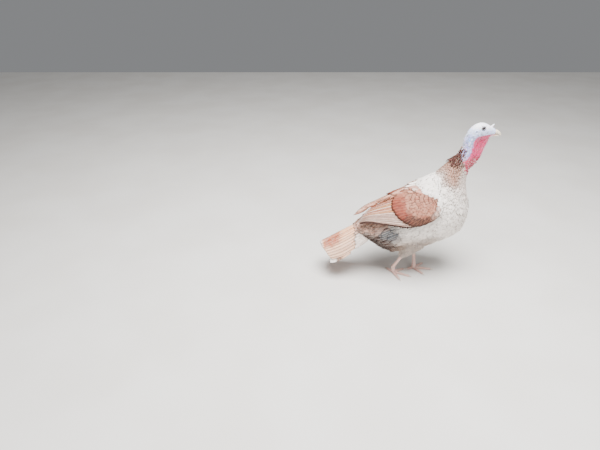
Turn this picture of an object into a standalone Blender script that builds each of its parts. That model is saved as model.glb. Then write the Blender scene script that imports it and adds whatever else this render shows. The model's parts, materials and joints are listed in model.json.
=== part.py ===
"""A light crossbred turkey hen, life size, in a slow walk, as a still museum model.

The bird faces +X with its right side towards -Y, and stands on the floor at z = 0.
Flesh is lofted through sections that run from the back line to the belly line.
Wing and tail feathers are thin vanes laid on a curved sheet, each one layer under the next.
"""

import math
import random

import bmesh
import bpy
import numpy as np
from mathutils import Matrix, Vector

# Driving dimensions, metres
CLEAR = 0.0003              # gap between neighbouring pieces
EYE_RADIUS = 0.0061
EYE_CENTRE = (0.6350, 0.0138, 0.6115)
LID_RADIUS = 0.0013
EAR_CENTRE = (0.6130, 0.0200, 0.5985)
EAR_RADIUS = 0.0042
SHANK_RADIUS = 0.0062
TOE_RADIUS = 0.0058
CLAW_LENGTH = 0.013
BULB_SEED = 11

# A section: back x, back z, belly x, belly z, half width. From the throat to the rump.
BODY = (
    (0.586, 0.584, 0.634, 0.556, 0.0190),
    (0.581, 0.566, 0.630, 0.542, 0.0195),
    (0.580, 0.540, 0.628, 0.520, 0.0215),
    (0.573, 0.512, 0.624, 0.488, 0.0265),
    (0.552, 0.490, 0.614, 0.452, 0.0370),
    (0.526, 0.463, 0.614, 0.405, 0.0500),
    (0.498, 0.434, 0.628, 0.345, 0.0680),
    (0.468, 0.411, 0.640, 0.285, 0.0850),
    (0.438, 0.388, 0.632, 0.225, 0.0950),
    (0.403, 0.360, 0.600, 0.186, 0.0990),
    (0.366, 0.333, 0.552, 0.163, 0.0990),
    (0.328, 0.308, 0.500, 0.141, 0.0950),
    (0.294, 0.286, 0.447, 0.122, 0.0890),
    (0.266, 0.268, 0.395, 0.115, 0.0810),
    (0.246, 0.252, 0.350, 0.125, 0.0690),
    (0.230, 0.238, 0.312, 0.147, 0.0590),
    (0.216, 0.224, 0.285, 0.166, 0.0480),
)
NECK_CUT = 3.0              # bare neck above, feathered neck below
TORSO_CUT = 5.3
RUMP = len(BODY) - 1.0
BELLY_TAPER = 0.07          # how much narrower the belly is than the back

# The same kind of section, from the throat to the root of the bill.
HEAD = (
    (0.586, 0.584, 0.634, 0.556, 0.0190),
    (0.592, 0.600, 0.641, 0.562, 0.0196),
    (0.604, 0.6145, 0.647, 0.566, 0.0202),
    (0.620, 0.6240, 0.652, 0.5685, 0.0203),
    (0.636, 0.6262, 0.657, 0.571, 0.0196),
    (0.652, 0.6215, 0.663, 0.5735, 0.0176),
    (0.668, 0.6125, 0.670, 0.5765, 0.0148),
    (0.683, 0.6045, 0.678, 0.578, 0.0118),
)
BILL_ROOT = len(HEAD) - 1.0

# The bill beyond its root, on the same plan; the upper half hooks over the lower.
BILL_UPPER = (
    (0.691, 0.6012, 0.6880, 0.5882, 0.0096),
    (0.698, 0.5965, 0.6952, 0.5864, 0.0078),
    (0.7038, 0.5912, 0.7012, 0.5836, 0.0055),
    (0.7075, 0.5850, 0.7062, 0.5802, 0.0026),
)
BILL_LOWER = (
    (0.6875, 0.5874, 0.6868, 0.5786, 0.0086),
    (0.6946, 0.5856, 0.6944, 0.5790, 0.0068),
    (0.7004, 0.5828, 0.7008, 0.5802, 0.0036),
)

# Each length of flesh: its sections, first and last place, rings, points in a ring, paint.
SEGMENTS = {
    "head": (HEAD, 0.0, BILL_ROOT, 14, 22, "white skin"),
    "neck_upper": (BODY, 0.0, NECK_CUT, 7, 22, "blue skin"),
    "neck_lower": (BODY, NECK_CUT, TORSO_CUT, 6, 28, "tan feather"),
    "torso": (BODY, TORSO_CUT, RUMP, 20, 28, "cream feather"),
}

MOUTH_SHARE = 0.58          # where the line of the mouth divides the root of the bill

# The wing's sheet from wrist to tip: upper edge x, out, z and lower edge x, out, z, bulge.
WING = (
    (0.516, 0.082, 0.362, 0.513, 0.096, 0.342, 0.003),
    (0.492, 0.070, 0.383, 0.490, 0.110, 0.313, 0.008),
    (0.440, 0.046, 0.384, 0.442, 0.116, 0.284, 0.015),
    (0.395, 0.024, 0.366, 0.396, 0.115, 0.276, 0.016),
    (0.350, 0.009, 0.344, 0.350, 0.106, 0.278, 0.014),
    (0.300, 0.006, 0.317, 0.297, 0.086, 0.276, 0.009),
    (0.252, 0.006, 0.288, 0.250, 0.062, 0.269, 0.006),
    (0.214, 0.008, 0.254, 0.212, 0.038, 0.246, 0.002),
)
ARM_END = 0.56              # share of the sheet that the feathered arm takes
ARM_DEPTH = 0.026
ARM_SINK = 0.0010           # the arm's own skin under the sheet that the coverts reach
FLIGHT_FEATHERS = 11        # tertials at the upper edge, then secondaries, then primaries
FLIGHT_OVERLAP = 3          # layers that lie over one another anywhere on the wing
FLIGHT_LAYER = 0.00125      # from one vane's middle to the next one's
FLIGHT_SINK = 0.0021        # the outermost vane's depth under the sheet
FLIGHT_SHARE = 0.85         # under 1 the feathers at the lower edge are narrower
FLIGHT_ROWS = (0.50, 0.62, 0.74, 0.87)
FIRST_TIP = 0.88            # where the uppermost vane ends; the lowest one ends at the tip
# Tiers of wing coverts: first and last place along the sheet, feathers in the tier.
COVERTS = (
    (0.03, 0.18, 3),
    (0.15, 0.30, 5),
    (0.27, 0.43, 6),
    (0.40, 0.63, 6),
)
COVERT_OVERLAP = 1.5
COVERT_LAYER = 0.0012
COVERT_ROOT = -0.0040
COVERT_LIFT = 0.0025

# The tail's sheet from root to tip: ridge x, z, half width, drop of the edge.
TAIL = (
    (0.262, 0.244, 0.046, 0.064),
    (0.215, 0.218, 0.058, 0.074),
    (0.170, 0.190, 0.065, 0.074),
    (0.125, 0.162, 0.063, 0.064),
    (0.080, 0.135, 0.054, 0.046),
)
TAIL_ARCH = math.radians(75)
TAIL_PAIRS = 7              # besides the central vane
TAIL_OVERLAP = 2
TAIL_LAYER = 0.00125
TAIL_ROWS = (0.10, 0.25, 0.50, 0.75)
TAIL_GATHER = 0.55          # how close together the roots stand, as a share of the spread
TAIL_SPREAD = 0.25          # where along the sheet the fan is at its full spread
TAIL_STUMP = 0.052          # length of the fleshy root of the tail
# Tiers of tail coverts: first and last place along the sheet, feathers a side, height at the
# root and at the tip, spread. The last tier lies under the fan.
TAIL_COVERTS = (
    (0.12, 0.36, 2, 0.0010, 0.0080, 0.80),
    (0.18, 0.50, 3, 0.0010, 0.0048, 0.92),
    (0.06, 0.54, 3, -0.0090, -0.0110, 0.84),
)
RIDGE_GAP = 0.014           # the paired vanes stop this far short of the ridge

# How a vane narrows over its last stretch: share of its reach, share of its full width.
TIP_OUTLINE = ((0.80, 0.94), (0.94, 0.62), (1.0, 0.22))
COVERT_OUTLINE = ((0.0, 0.6), (0.42, 1.0), (0.82, 0.84), (1.0, 0.3))

MATERIALS = {
    # name: sRGB colour, roughness
    "white skin": ("#e9ebf5", 0.5),
    "pink skin": ("#d9708c", 0.45),
    "blue skin": ("#a9c3de", 0.5),
    "horn": ("#efe4cf", 0.4),
    "eye": ("#120d0b", 0.08),
    "cream feather": ("#efe7e0", 0.75),
    "tan feather": ("#cbb8a8", 0.75),
    "chestnut feather": ("#b8765a", 0.7),
    "peach feather": ("#f0d8c8", 0.7),
    "grey feather": ("#a9a4a0", 0.75),
    "leg scale": ("#c9b3ac", 0.55),
}


def linear(channel):
    """One sRGB channel, 0 to 1, as linear light."""
    return channel / 12.92 if channel <= 0.04045 else ((channel + 0.055) / 1.055) ** 2.4


def material(name):
    """The named material, made the first time it is asked for."""
    found = bpy.data.materials.get(name)
    if found:
        return found
    colour, roughness = MATERIALS[name]
    made = bpy.data.materials.new(name)
    made.use_nodes = True
    shader = made.node_tree.nodes["Principled BSDF"]
    red, green, blue = (linear(int(colour[i:i + 2], 16) / 255) for i in (1, 3, 5))
    shader.inputs["Base Color"].default_value = (red, green, blue, 1)
    shader.inputs["Roughness"].default_value = roughness
    shader.inputs["Metallic"].default_value = 0
    made.diffuse_color = (red, green, blue, 1)
    return made


def curve_at(table, t):
    """The smooth (Catmull-Rom) curve through the rows of a table, one row per unit of t."""
    rows = np.asarray(table, dtype=float)
    last = len(rows) - 1
    t = min(max(t, 0.0), float(last))
    i = min(int(t), last - 1)
    f = t - i
    b, c = rows[i], rows[i + 1]
    a = rows[i - 1] if i > 0 else 2 * b - c
    d = rows[i + 2] if i + 2 <= last else 2 * c - b
    return 0.5 * (2 * b + (c - a) * f + (2 * a - 5 * b + 4 * c - d) * f * f
                  + (3 * b - a - 3 * c + d) * f ** 3)


def section_ring(section, count, grow=0.0, shift=0.0, taper=BELLY_TAPER):
    """A closed ring round one section, grown outwards and shifted along the section's normal."""
    back_x, back_z, belly_x, belly_z, half = section
    back = Vector((back_x, 0, back_z))
    belly = Vector((belly_x, 0, belly_z))
    centre = (back + belly) / 2
    up = (back - belly) / 2
    tall = up.length + grow
    up.normalize()
    onward = up.cross(Vector((0, 1, 0)))
    ring = []
    for k in range(count):
        angle = 2 * math.pi * k / count
        out = (half + grow) * math.sin(angle) * (1 + taper * math.cos(angle))
        ring.append(centre + up * (tall * math.cos(angle)) + Vector((0, out, 0)) + onward * shift)
    return ring


def mesh_object(name, bm, paint):
    """A shaded object from a finished bmesh, linked to the bird's collection."""
    bmesh.ops.recalc_face_normals(bm, faces=bm.faces)
    mesh = bpy.data.meshes.new(name)
    bm.to_mesh(mesh)
    bm.free()
    made = bpy.data.objects.new(name, mesh)
    bpy.data.collections["Turkey hen"].objects.link(made)
    made.data.materials.append(material(paint))
    made.data.shade_smooth()
    made.data.set_sharp_from_angle(angle=math.radians(40))
    return made


def loft(name, rings, paint):
    """A closed body through rings of equal count, with a flat cap at each end."""
    bm = bmesh.new()
    loops = [[bm.verts.new(point) for point in ring] for ring in rings]
    for near, far in zip(loops, loops[1:]):
        for k in range(len(near)):
            after = (k + 1) % len(near)
            bm.faces.new((near[k], near[after], far[after], far[k]))
    bm.faces.new(loops[0][::-1])
    bm.faces.new(loops[-1])
    return mesh_object(name, bm, paint)


def segment(name, grow=0.0):
    """One length of the flesh, its caps set back by half the clearance; grown, it is a cutter."""
    table, start, end, steps, count, paint = SEGMENTS[name]
    rings = []
    for step in range(steps + 1):
        inward = {0: 1, steps: -1}.get(step, 0) * (CLEAR / 2 - grow)
        shift = -inward if table is HEAD else inward
        t = start + (end - start) * step / steps
        rings.append(section_ring(curve_at(table, t), count, grow, shift))
    return loft(name + (" cutter" if grow else ""), rings, paint)


def tube(name, points, radii, count, paint, floor=None, facing=None, across=None):
    """A round body along points; what would reach under the floor is laid flat on it.

    Its sections stand across the path, or all across one direction where facing gives it.
    Their width lies level, or along one direction where across gives it.
    """
    rings = []
    points = [Vector(p) for p in points]
    for i, (point, radius) in enumerate(zip(points, radii)):
        onward = facing or (points[min(i + 1, len(points) - 1)] - points[max(i - 1, 0)]).normalized()
        side = across - onward * across.dot(onward) if across else onward.cross(Vector((0, 0, 1)))
        side.normalize()
        up = side.cross(onward)
        wide, tall = radius if isinstance(radius, tuple) else (radius, radius)
        ring = []
        for k in range(count):
            angle = 2 * math.pi * (k + 0.5) / count
            spot = point + side * (wide * math.cos(angle)) + up * (tall * math.sin(angle))
            if floor is not None:
                spot.z = max(spot.z, floor)
            ring.append(spot)
        rings.append(ring)
    return loft(name, rings, paint)


def ball(name, centre, radii, paint, segments=8, rings=6, turn=None):
    """An ellipsoid; turn is a rotation matrix for its axes."""
    bm = bmesh.new()
    place = Matrix.Translation(Vector(centre)) @ (turn or Matrix.Identity(4)) @ Matrix.Diagonal((*radii, 1))
    bmesh.ops.create_uvsphere(bm, u_segments=segments, v_segments=rings, radius=1, matrix=place)
    return mesh_object(name, bm, paint)


def keep_largest(body):
    """Leave only the largest closed surface of a body."""
    bm = bmesh.new()
    bm.from_mesh(body.data)
    unseen = set(bm.verts)
    groups = []
    while unseen:
        queue = [unseen.pop()]
        group = set(queue)
        while queue:
            for edge in queue.pop().link_edges:
                for vert in edge.verts:
                    if vert in unseen:
                        unseen.discard(vert)
                        group.add(vert)
                        queue.append(vert)
        groups.append(group)
    groups.sort(key=lambda group: sum(f.calc_area() for f in {f for v in group for f in v.link_faces}))
    for group in groups[:-1]:
        bmesh.ops.delete(bm, geom=list(group), context="VERTS")
    bm.to_mesh(body.data)
    bm.free()


def combine(body, pieces, operation):
    """One Boolean on a collection of closed pieces, applied, with the pieces removed."""
    group = bpy.data.collections.new(body.name + " pieces")
    bpy.context.scene.collection.children.link(group)
    for piece in pieces:
        group.objects.link(piece)
    boolean = body.modifiers.new(operation.lower(), "BOOLEAN")
    boolean.operand_type = "COLLECTION"
    boolean.collection = group
    boolean.operation = operation
    boolean.solver = "MANIFOLD"
    graph = bpy.context.evaluated_depsgraph_get()
    merged = bpy.data.meshes.new_from_object(body.evaluated_get(graph))
    body.modifiers.clear()
    body.data = merged
    while len(merged.materials) > 1:
        merged.materials.pop()
    for piece in pieces:
        bpy.data.objects.remove(piece)
    bpy.data.collections.remove(group)
    keep_largest(body)
    return body


def mirrored(point, side):
    x, out, z = point
    return Vector((x, out * side, z))


def make_eye(side, label):
    return ball(f"eye_{label}", mirrored(EYE_CENTRE, side), (EYE_RADIUS,) * 3, "eye", 12, 8)


def ring_piece(name, centre, radius, thick, tilt, paint):
    """A ring of flesh standing on the side of the head, such as a lid or the rim of an ear."""
    bpy.ops.mesh.primitive_torus_add(major_segments=12, minor_segments=4, major_radius=radius,
                                     minor_radius=thick)
    made = bpy.context.object
    for held in made.users_collection:
        held.objects.unlink(made)
    bpy.data.collections["Turkey hen"].objects.link(made)
    made.name = name
    turn = Matrix.Rotation(tilt, 4, "Z") @ Matrix.Rotation(math.pi / 2, 4, "X")
    made.data.transform(Matrix.Translation(centre) @ turn)
    made.data.materials.append(material(paint))
    return made


def make_head():
    """The head with its lids, ear cups, eye sockets and the corners of the mouth."""
    head = segment("head")
    added = []
    removed = []
    for side in (1, -1):
        eye = mirrored(EYE_CENTRE, side)
        lid = mirrored((EYE_CENTRE[0], 0.0178, EYE_CENTRE[2]), side)
        ear = mirrored(EAR_CENTRE, side)
        added.append(ring_piece("lid", lid, EYE_RADIUS * 0.86, LID_RADIUS, -0.20 * side, "white skin"))
        added.append(ring_piece("ear rim", ear + Vector((0, -0.0012 * side, 0)), EAR_RADIUS, 0.0011,
                                0.12 * side, "white skin"))
        added.append(ball("brow", eye + Vector((0, -0.0006 * side, 0.0082)),
                          (0.0080, 0.0032, 0.0015), "white skin", 8, 4))
        added.append(ball("cheek", mirrored((0.634, 0.0140, 0.5885), side), (0.013, 0.0052, 0.0062),
                          "white skin", 8, 5))
        removed.append(ball("socket", eye, (EYE_RADIUS + CLEAR,) * 3, "white skin", 12, 8))
        removed.append(ball("ear cup", ear + Vector((0, 0.0008 * side, 0)),
                            (EAR_RADIUS * 0.72, 0.0034, EAR_RADIUS * 0.72), "white skin", 8, 5))
        removed.append(ball("mouth corner", mirrored((0.675, 0.0150, 0.5872), side),
                            (0.0150, 0.0022, 0.0009), "white skin", 8, 4))
    combine(head, added, "UNION")
    combine(head, removed, "DIFFERENCE")
    return head


def bill_root(share):
    """A point of the plane where the bill meets the head, at a share of the way down it."""
    back_x, back_z, belly_x, belly_z, _ = HEAD[-1]
    down = Vector((belly_x - back_x, 0, belly_z - back_z))
    normal = Vector((-down.z, 0, down.x)).normalized()
    return Vector((back_x, 0, back_z)) + down * share + normal * CLEAR


def make_bill():
    """The two halves of the bill, with the nostrils cut in the upper one."""
    top = bill_root(0.02)
    middle = bill_root(MOUTH_SHARE)
    under = bill_root(0.97)
    mouth = CLEAR * 0.6
    upper_table = ((top.x, top.z, middle.x, middle.z + mouth, 0.0112),) + BILL_UPPER
    lower_table = ((middle.x, middle.z - mouth, under.x, under.z, 0.0104),) + BILL_LOWER
    rings = [section_ring(curve_at(upper_table, i / 2), 14, taper=-0.15) for i in range(9)]
    upper = loft("bill_upper", rings, "horn")
    nostrils = [ball("nostril", mirrored((0.6895, 0.0088, 0.5955), side), (0.0030, 0.0022, 0.0012), "horn")
                for side in (1, -1)]
    combine(upper, nostrils, "DIFFERENCE")
    rings = [section_ring(curve_at(lower_table, i / 2), 14, taper=0.15) for i in range(7)]
    loft("bill_lower", rings, "horn")


def make_snood():
    """The small fleshy cone over the root of the bill, cut to the forehead."""
    path = ((0.6675, 0, 0.6080), (0.6700, 0, 0.6140), (0.6730, 0, 0.6185), (0.6765, 0, 0.6225))
    snood = tube("snood", path, (0.0046, 0.0040, 0.0027, 0.0012), 10, "white skin")
    return combine(snood, [segment("head", CLEAR)], "DIFFERENCE")


# The dewlap from the chin down: root x, z and free edge x, z, half thickness at root and edge.
DEWLAP = (
    (0.634, 0.5800, 0.6700, 0.5790, 0.0125, 0.0050),
    (0.622, 0.5620, 0.6685, 0.5610, 0.0130, 0.0042),
    (0.618, 0.5440, 0.6625, 0.5440, 0.0130, 0.0036),
    (0.616, 0.5260, 0.6585, 0.5250, 0.0130, 0.0034),
    (0.614, 0.5080, 0.6520, 0.5060, 0.0130, 0.0036),
    (0.609, 0.4900, 0.6420, 0.4870, 0.0130, 0.0040),
    (0.602, 0.4720, 0.6300, 0.4690, 0.0125, 0.0044),
    (0.595, 0.4560, 0.6165, 0.4520, 0.0110, 0.0046),
)
DEWLAP_FOLDS = 2.5


def make_dewlap():
    """The loose skin down the front of the neck, in upright folds, with bulbs on its lower edge."""
    rings = []
    steps = 14
    half = 7
    for step in range(steps + 1):
        t = step / steps
        root_x, root_z, edge_x, edge_z, thick, thin = curve_at(DEWLAP, t * (len(DEWLAP) - 1))
        end = min(1.0, 0.55 + 3 * min(t, 1 - t))
        sides = []
        for k in range(half + 1):
            f = k / half
            fold = 1 + 0.16 * math.cos(2 * math.pi * DEWLAP_FOLDS * f + 3 * t)
            width = (thick + (thin - thick) * f) * fold * end
            width *= math.sqrt(max(0.0, 1 - max(0.0, (f - 0.8) / 0.2) ** 2)) if k < half else 0.0
            sides.append((Vector((root_x + (edge_x - root_x) * f, 0, root_z + (edge_z - root_z) * f)), width))
        ring = [spot + Vector((0, width, 0)) for spot, width in sides]
        ring += [spot - Vector((0, width, 0)) for spot, width in sides[-2::-1]]
        rings.append(ring)
    flap = loft("dewlap", rings, "pink skin")
    bulbs = []
    for k in range(6):
        t = 0.56 + 0.068 * k
        _, _, edge_x, edge_z, _, _ = curve_at(DEWLAP, t * (len(DEWLAP) - 1))
        lean = 0.0022 * (-1) ** k
        bulbs.append(ball("bulb", (edge_x - 0.0030, lean, edge_z), (0.0040, 0.0034, 0.0046), "pink skin", 6, 4))
    combine(flap, bulbs, "UNION")
    return combine(flap, [segment(name, CLEAR) for name in ("head", "neck_upper", "neck_lower")], "DIFFERENCE")


def body_point(t, angle, lift=0.0):
    """A point of the body's surface: 0 is on the back, half a turn on the belly, +Y side first."""
    back_x, back_z, belly_x, belly_z, half = curve_at(BODY, t)
    up = Vector((back_x - belly_x, 0, back_z - belly_z)) / 2
    centre = Vector((back_x + belly_x, 0, back_z + belly_z)) / 2
    out = (half + lift) * math.sin(angle) * (1 + BELLY_TAPER * math.cos(angle))
    return centre + up.normalized() * ((up.length + lift) * math.cos(angle)) + Vector((0, out, 0))


def make_neck():
    """The bare neck with its caruncles, and the feathered neck below it."""
    bare = segment("neck_upper")
    draw = random.Random(BULB_SEED)
    bulbs = []
    for row in range(6):
        t = 0.40 + 0.44 * row
        share = row / 5
        for k in range(3 - row % 2):
            for side in (1, -1):
                angle = side * (0.30 + 0.66 * (k + 0.5 * (row % 2)) + draw.uniform(-0.08, 0.08))
                size = 0.0026 + 0.0018 * share + draw.uniform(-0.0003, 0.0004)
                spot = body_point(t, angle, -size * 0.35)
                bulbs.append(ball("bulb", spot, (size, size, size * 1.15), "blue skin", 6, 4))
    combine(bare, bulbs, "UNION")
    segment("neck_lower")


def lock(name, points, wide, thick, paint):
    """A flat lock that tapers to its end."""
    last = len(points) - 1
    radii = [(wide * (1 - 0.8 * i / last), thick * (1 - 0.5 * i / last)) for i in range(last + 1)]
    return tube(name, points, radii, 6, paint)


def make_torso():
    """The trunk, with the loose plumes that hang from the breast."""
    torso = segment("torso")
    locks = []
    for k in range(4):
        root = body_point(6.35 + 0.12 * k, math.pi + (k - 1.5) * 0.10, -0.004)
        length = 0.034 + 0.006 * (k % 2)
        path = [root + Vector((0.014 * s - 0.004 * s * s, 0.0015 * (k - 1.5) * s, -length * s))
                for s in (0.0, 0.35, 0.7, 1.0)]
        locks.append(lock("plume", path, 0.0035, 0.0012, "cream feather"))
    return combine(torso, locks, "UNION")


def sheet_point(sheet, u, v, lift):
    """A point of a sheet raised along its outward normal."""
    step = 1e-3
    here = sheet(u, v)
    along = sheet(min(u + step, 1.0), v) - sheet(max(u - step, 0.0), v)
    across = sheet(u, v + step) - sheet(u, v - step)
    return here + across.cross(along).normalized() * lift


def wing_sheet(u, v):
    """The outer face of the folded wing: u from wrist to tip, v from upper to lower edge."""
    row = curve_at(WING, u * (len(WING) - 1))
    upper, lower, bulge = Vector(row[0:3]), Vector(row[3:6]), row[6]
    chord = lower - upper
    outward = Vector((0, -chord.z, chord.y)).normalized()
    return upper + chord * v + outward * (bulge * math.sin(math.pi * min(max(v, 0), 1)))


def tail_sheet(u, v):
    """The upper face of the closed tail: v is 0 on the ridge and 1 and -1 at the outer edges."""
    x, z, half, drop = curve_at(TAIL, u * (len(TAIL) - 1))
    out = half * math.sin(v * TAIL_ARCH) / math.sin(TAIL_ARCH)
    down = drop * (1 - math.cos(v * TAIL_ARCH)) / (1 - math.cos(TAIL_ARCH))
    return Vector((x, out, z - down))


def make_arm(side, label):
    """The feathered arm of the wing, cut to the side of the trunk."""
    rings = []
    steps = 9
    across = 6
    for step in range(steps + 1):
        u = ARM_END * step / steps
        depth = ARM_DEPTH * min(1.0, 0.45 + 3.0 * u, 0.34 + 2.2 * (ARM_END - u))
        outer = [sheet_point(wing_sheet, u, k / across, -ARM_SINK) for k in range(across + 1)]
        inner = [sheet_point(wing_sheet, u, k / across, -depth) for k in range(across, -1, -1)]
        rings.append([mirrored(p, side) for p in outer + inner])
    return loft(f"wing_{label}", rings, "chestnut feather")


def vane(rows, thick, paint):
    """A thin feather whose two faces have the same triangles.

    A row across it is a list of points with their normals; rows run from root to tip.
    """
    bm = bmesh.new()
    tops = []
    unders = []
    last = len(rows) - 1
    wide = len(rows[0])
    for i, row in enumerate(rows):
        top = []
        under = []
        for j, (point, normal) in enumerate(row):
            edge = 1 - 0.3 * abs(2 * j / (wide - 1) - 1)
            half = thick * edge * (1 - 0.2 * i / last) / 2
            top.append(bm.verts.new(point + normal * half))
            under.append(bm.verts.new(point - normal * half))
        tops.append(top)
        unders.append(under)
    for i in range(last):
        for j in range(wide - 1):
            for face in (tops, unders):
                bm.faces.new((face[i][j], face[i][j + 1], face[i + 1][j + 1]))
                bm.faces.new((face[i][j], face[i + 1][j + 1], face[i + 1][j]))
        for j in (0, wide - 1):
            bm.faces.new((tops[i][j], unders[i][j], unders[i + 1][j], tops[i + 1][j]))
    for i in (0, last):
        for j in range(wide - 1):
            bm.faces.new((tops[i][j], tops[i][j + 1], unders[i][j + 1], unders[i][j]))
    return mesh_object("vane", bm, paint)


def sheet_vane(sheet, places, columns, across, lift, side, thick, paint):
    """A vane laid on a sheet. A place is (u, share of the width); a column runs from -1 to 1."""
    rows = []
    for u, width in places:
        row = []
        for c in columns:
            v = across(u, c * width)
            low = sheet_point(sheet, u, v, 0.0)
            normal = sheet_point(sheet, u, v, 1.0) - low
            row.append((mirrored(low + normal * lift(u, c * width), side), mirrored(normal, side)))
        rows.append(row)
    return vane(rows, thick, paint)


def long_places(rows, tip):
    """Rows of a long vane: those that it shares with its neighbours, then its own tip."""
    end = [(rows[0] + (tip - rows[0]) * share, width) for share, width in TIP_OUTLINE]
    shared = [(u, 1.0) for u in rows if u < end[0][0] - 0.04]
    return shared + end


def short_places(first, last):
    return [(first + (last - first) * share, width) for share, width in COVERT_OUTLINE]


def stacked(k, overlap, first):
    """The place across a stack, in feathers, of column c of vane k, and how deep it lies there."""
    low = max(k + 1 - overlap, first)

    def place(c):
        return low + (k + 1 - low) * (c + 1) / 2

    def depth(c):
        return k + 1 - place(c)

    return place, depth


def flight_feathers(side):
    """Tertials, secondaries and primaries, each one layer under the one above it."""
    made = []
    for k in range(FLIGHT_FEATHERS):
        place, depth = stacked(k, FLIGHT_OVERLAP, -1)

        def across(u, c, place=place):
            return ((place(c) + 1) / (FLIGHT_FEATHERS + 1)) ** FLIGHT_SHARE

        def lift(u, c, depth=depth):
            return -FLIGHT_SINK - FLIGHT_LAYER * depth(c)

        tip = FIRST_TIP + (1 - FIRST_TIP) * (k / (FLIGHT_FEATHERS - 1)) ** 0.8
        made.append(sheet_vane(wing_sheet, long_places(FLIGHT_ROWS, tip), (-1, 0, 1), across, lift, side,
                               0.00085, "chestnut feather"))
    return made


def wing_coverts(side):
    """Tiers of short feathers that rise out of the arm, the last one over the flight feathers."""
    made = []
    for first, last, count in COVERTS:
        for k in range(count):
            place, depth = stacked(k, COVERT_OVERLAP, -0.4)

            def across(u, c, place=place):
                return (place(c) + 0.4) / (count + 0.4)

            def lift(u, c, depth=depth):
                rise = min(1.0, (u - first) / (last - first) / COVERT_OUTLINE[1][0])
                return COVERT_ROOT + (COVERT_LIFT - COVERT_ROOT) * rise - COVERT_LAYER * depth(c)

            made.append(sheet_vane(wing_sheet, short_places(first, last), (-1, 1), across, lift, side,
                                   0.0008, "chestnut feather"))
    return made


def make_wing(side, label):
    """The wing: its arm under tiers of coverts, with the flight feathers behind."""
    arm = make_arm(side, label)
    combine(arm, flight_feathers(side) + wing_coverts(side), "UNION")
    return combine(arm, [segment("torso", CLEAR)], "DIFFERENCE")


def tail_stump():
    """The fleshy root of the tail, turning from the rump's face to the line of the tail."""
    back_x, back_z, belly_x, belly_z, half = curve_at(BODY, RUMP)
    back = Vector((back_x, 0, back_z))
    belly = Vector((belly_x, 0, belly_z))
    up = (back - belly).normalized()
    onward = up.cross(Vector((0, 1, 0)))
    ridge = (tail_sheet(1, 0) - tail_sheet(0, 0)).normalized()
    above = Vector((ridge.z, 0, -ridge.x))
    rings = []
    for step in range(4):
        t = step / 3
        size = 1 + 0.12 * t * (1 - t) - 0.40 * t ** 2
        middle = (back + belly) / 2 + onward * (CLEAR / 2) + ridge * (TAIL_STUMP * t)
        lean = up.lerp(above, t).normalized()
        tall = (back - belly).length / 2 * size
        rings.append([middle + lean * (tall * math.cos(a)) + Vector((0, half * size * math.sin(a), 0))
                      for a in (2 * math.pi * k / 14 for k in range(14))])
    return loft("tail", rings, "peach feather")


def gathered(u):
    """How much of its full spread the fan has at one place along the tail."""
    return TAIL_GATHER + (1 - TAIL_GATHER) * min(1.0, max(0.0, (u - 0.05) / (TAIL_SPREAD - 0.05)))


def tail_feathers():
    """The fan: the central vane on the ridge, the pairs stacked below it on each side."""
    def ridge_across(u, c):
        return c * 0.9 / TAIL_PAIRS * gathered(u)

    made = [sheet_vane(tail_sheet, long_places(TAIL_ROWS, 1.0), (-1, 0, 1), ridge_across,
                       lambda u, c: 0.0014, 1, 0.0011, "peach feather")]
    for side in (1, -1):
        for k in range(TAIL_PAIRS):
            place, depth = stacked(k, TAIL_OVERLAP, 0.0)
            spread = 0.08 if k == TAIL_PAIRS - 1 else 0.0

            def across(u, c, place=place, spread=spread):
                return max(place(c) / TAIL_PAIRS * gathered(u), RIDGE_GAP) + spread * max(0.0, u - TAIL_SPREAD)

            def lift(u, c, depth=depth):
                return -TAIL_LAYER * depth(c) - 0.004 * max(0.0, 1 - u / TAIL_SPREAD)

            tip = 1.0 - 0.008 * k - 0.005 * k * k
            made.append(sheet_vane(tail_sheet, long_places(TAIL_ROWS, tip), (-1, 0, 1), across, lift, side,
                                   0.0009, "peach feather"))
    return made


def tail_coverts():
    """Two tiers over the root of the fan, and one under it."""
    made = []
    for first, last, count, low, high, spread in TAIL_COVERTS:
        for side in (1, -1):
            for k in range(count):
                place, depth = stacked(k, COVERT_OVERLAP, 0.0)

                def across(u, c, place=place):
                    return max(place(c) / count * spread * gathered(u), RIDGE_GAP)

                def lift(u, c, depth=depth):
                    rise = min(1.0, 2.2 * (u - first) / (last - first))
                    return low + (high - low) * rise - COVERT_LAYER * depth(c)

                made.append(sheet_vane(tail_sheet, short_places(first, last), (-1, 0, 1), across, lift, side,
                                       0.0008, "peach feather"))
    return made


def make_tail():
    """The tail: its fleshy root, the fan, and the coverts over and under the fan."""
    tail = tail_stump()
    combine(tail, tail_feathers() + tail_coverts(), "UNION")
    return combine(tail, [segment("torso", CLEAR)], "DIFFERENCE")


# Legs: knee side of the thigh, hock, ankle and the foot's heading, in degrees from +X.
LEGS = {
    "left": {"side": 1, "top": (0.462, 0.050, 0.222), "hock": (0.470, 0.036, 0.106),
             "ankle": (0.474, 0.014, 0.0215), "heading": -8.0},
    "right": {"side": -1, "top": (0.440, 0.050, 0.218), "hock": (0.408, 0.042, 0.106),
              "ankle": (0.382, 0.015, 0.0290), "heading": -26.0},
}
TOES = (
    # name, angle from the foot's heading towards the outer side, length
    ("inner", -48.0, 0.050),
    ("middle", 0.0, 0.068),
    ("outer", 44.0, 0.052),
    ("hind", 205.0, 0.026),
)


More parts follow.
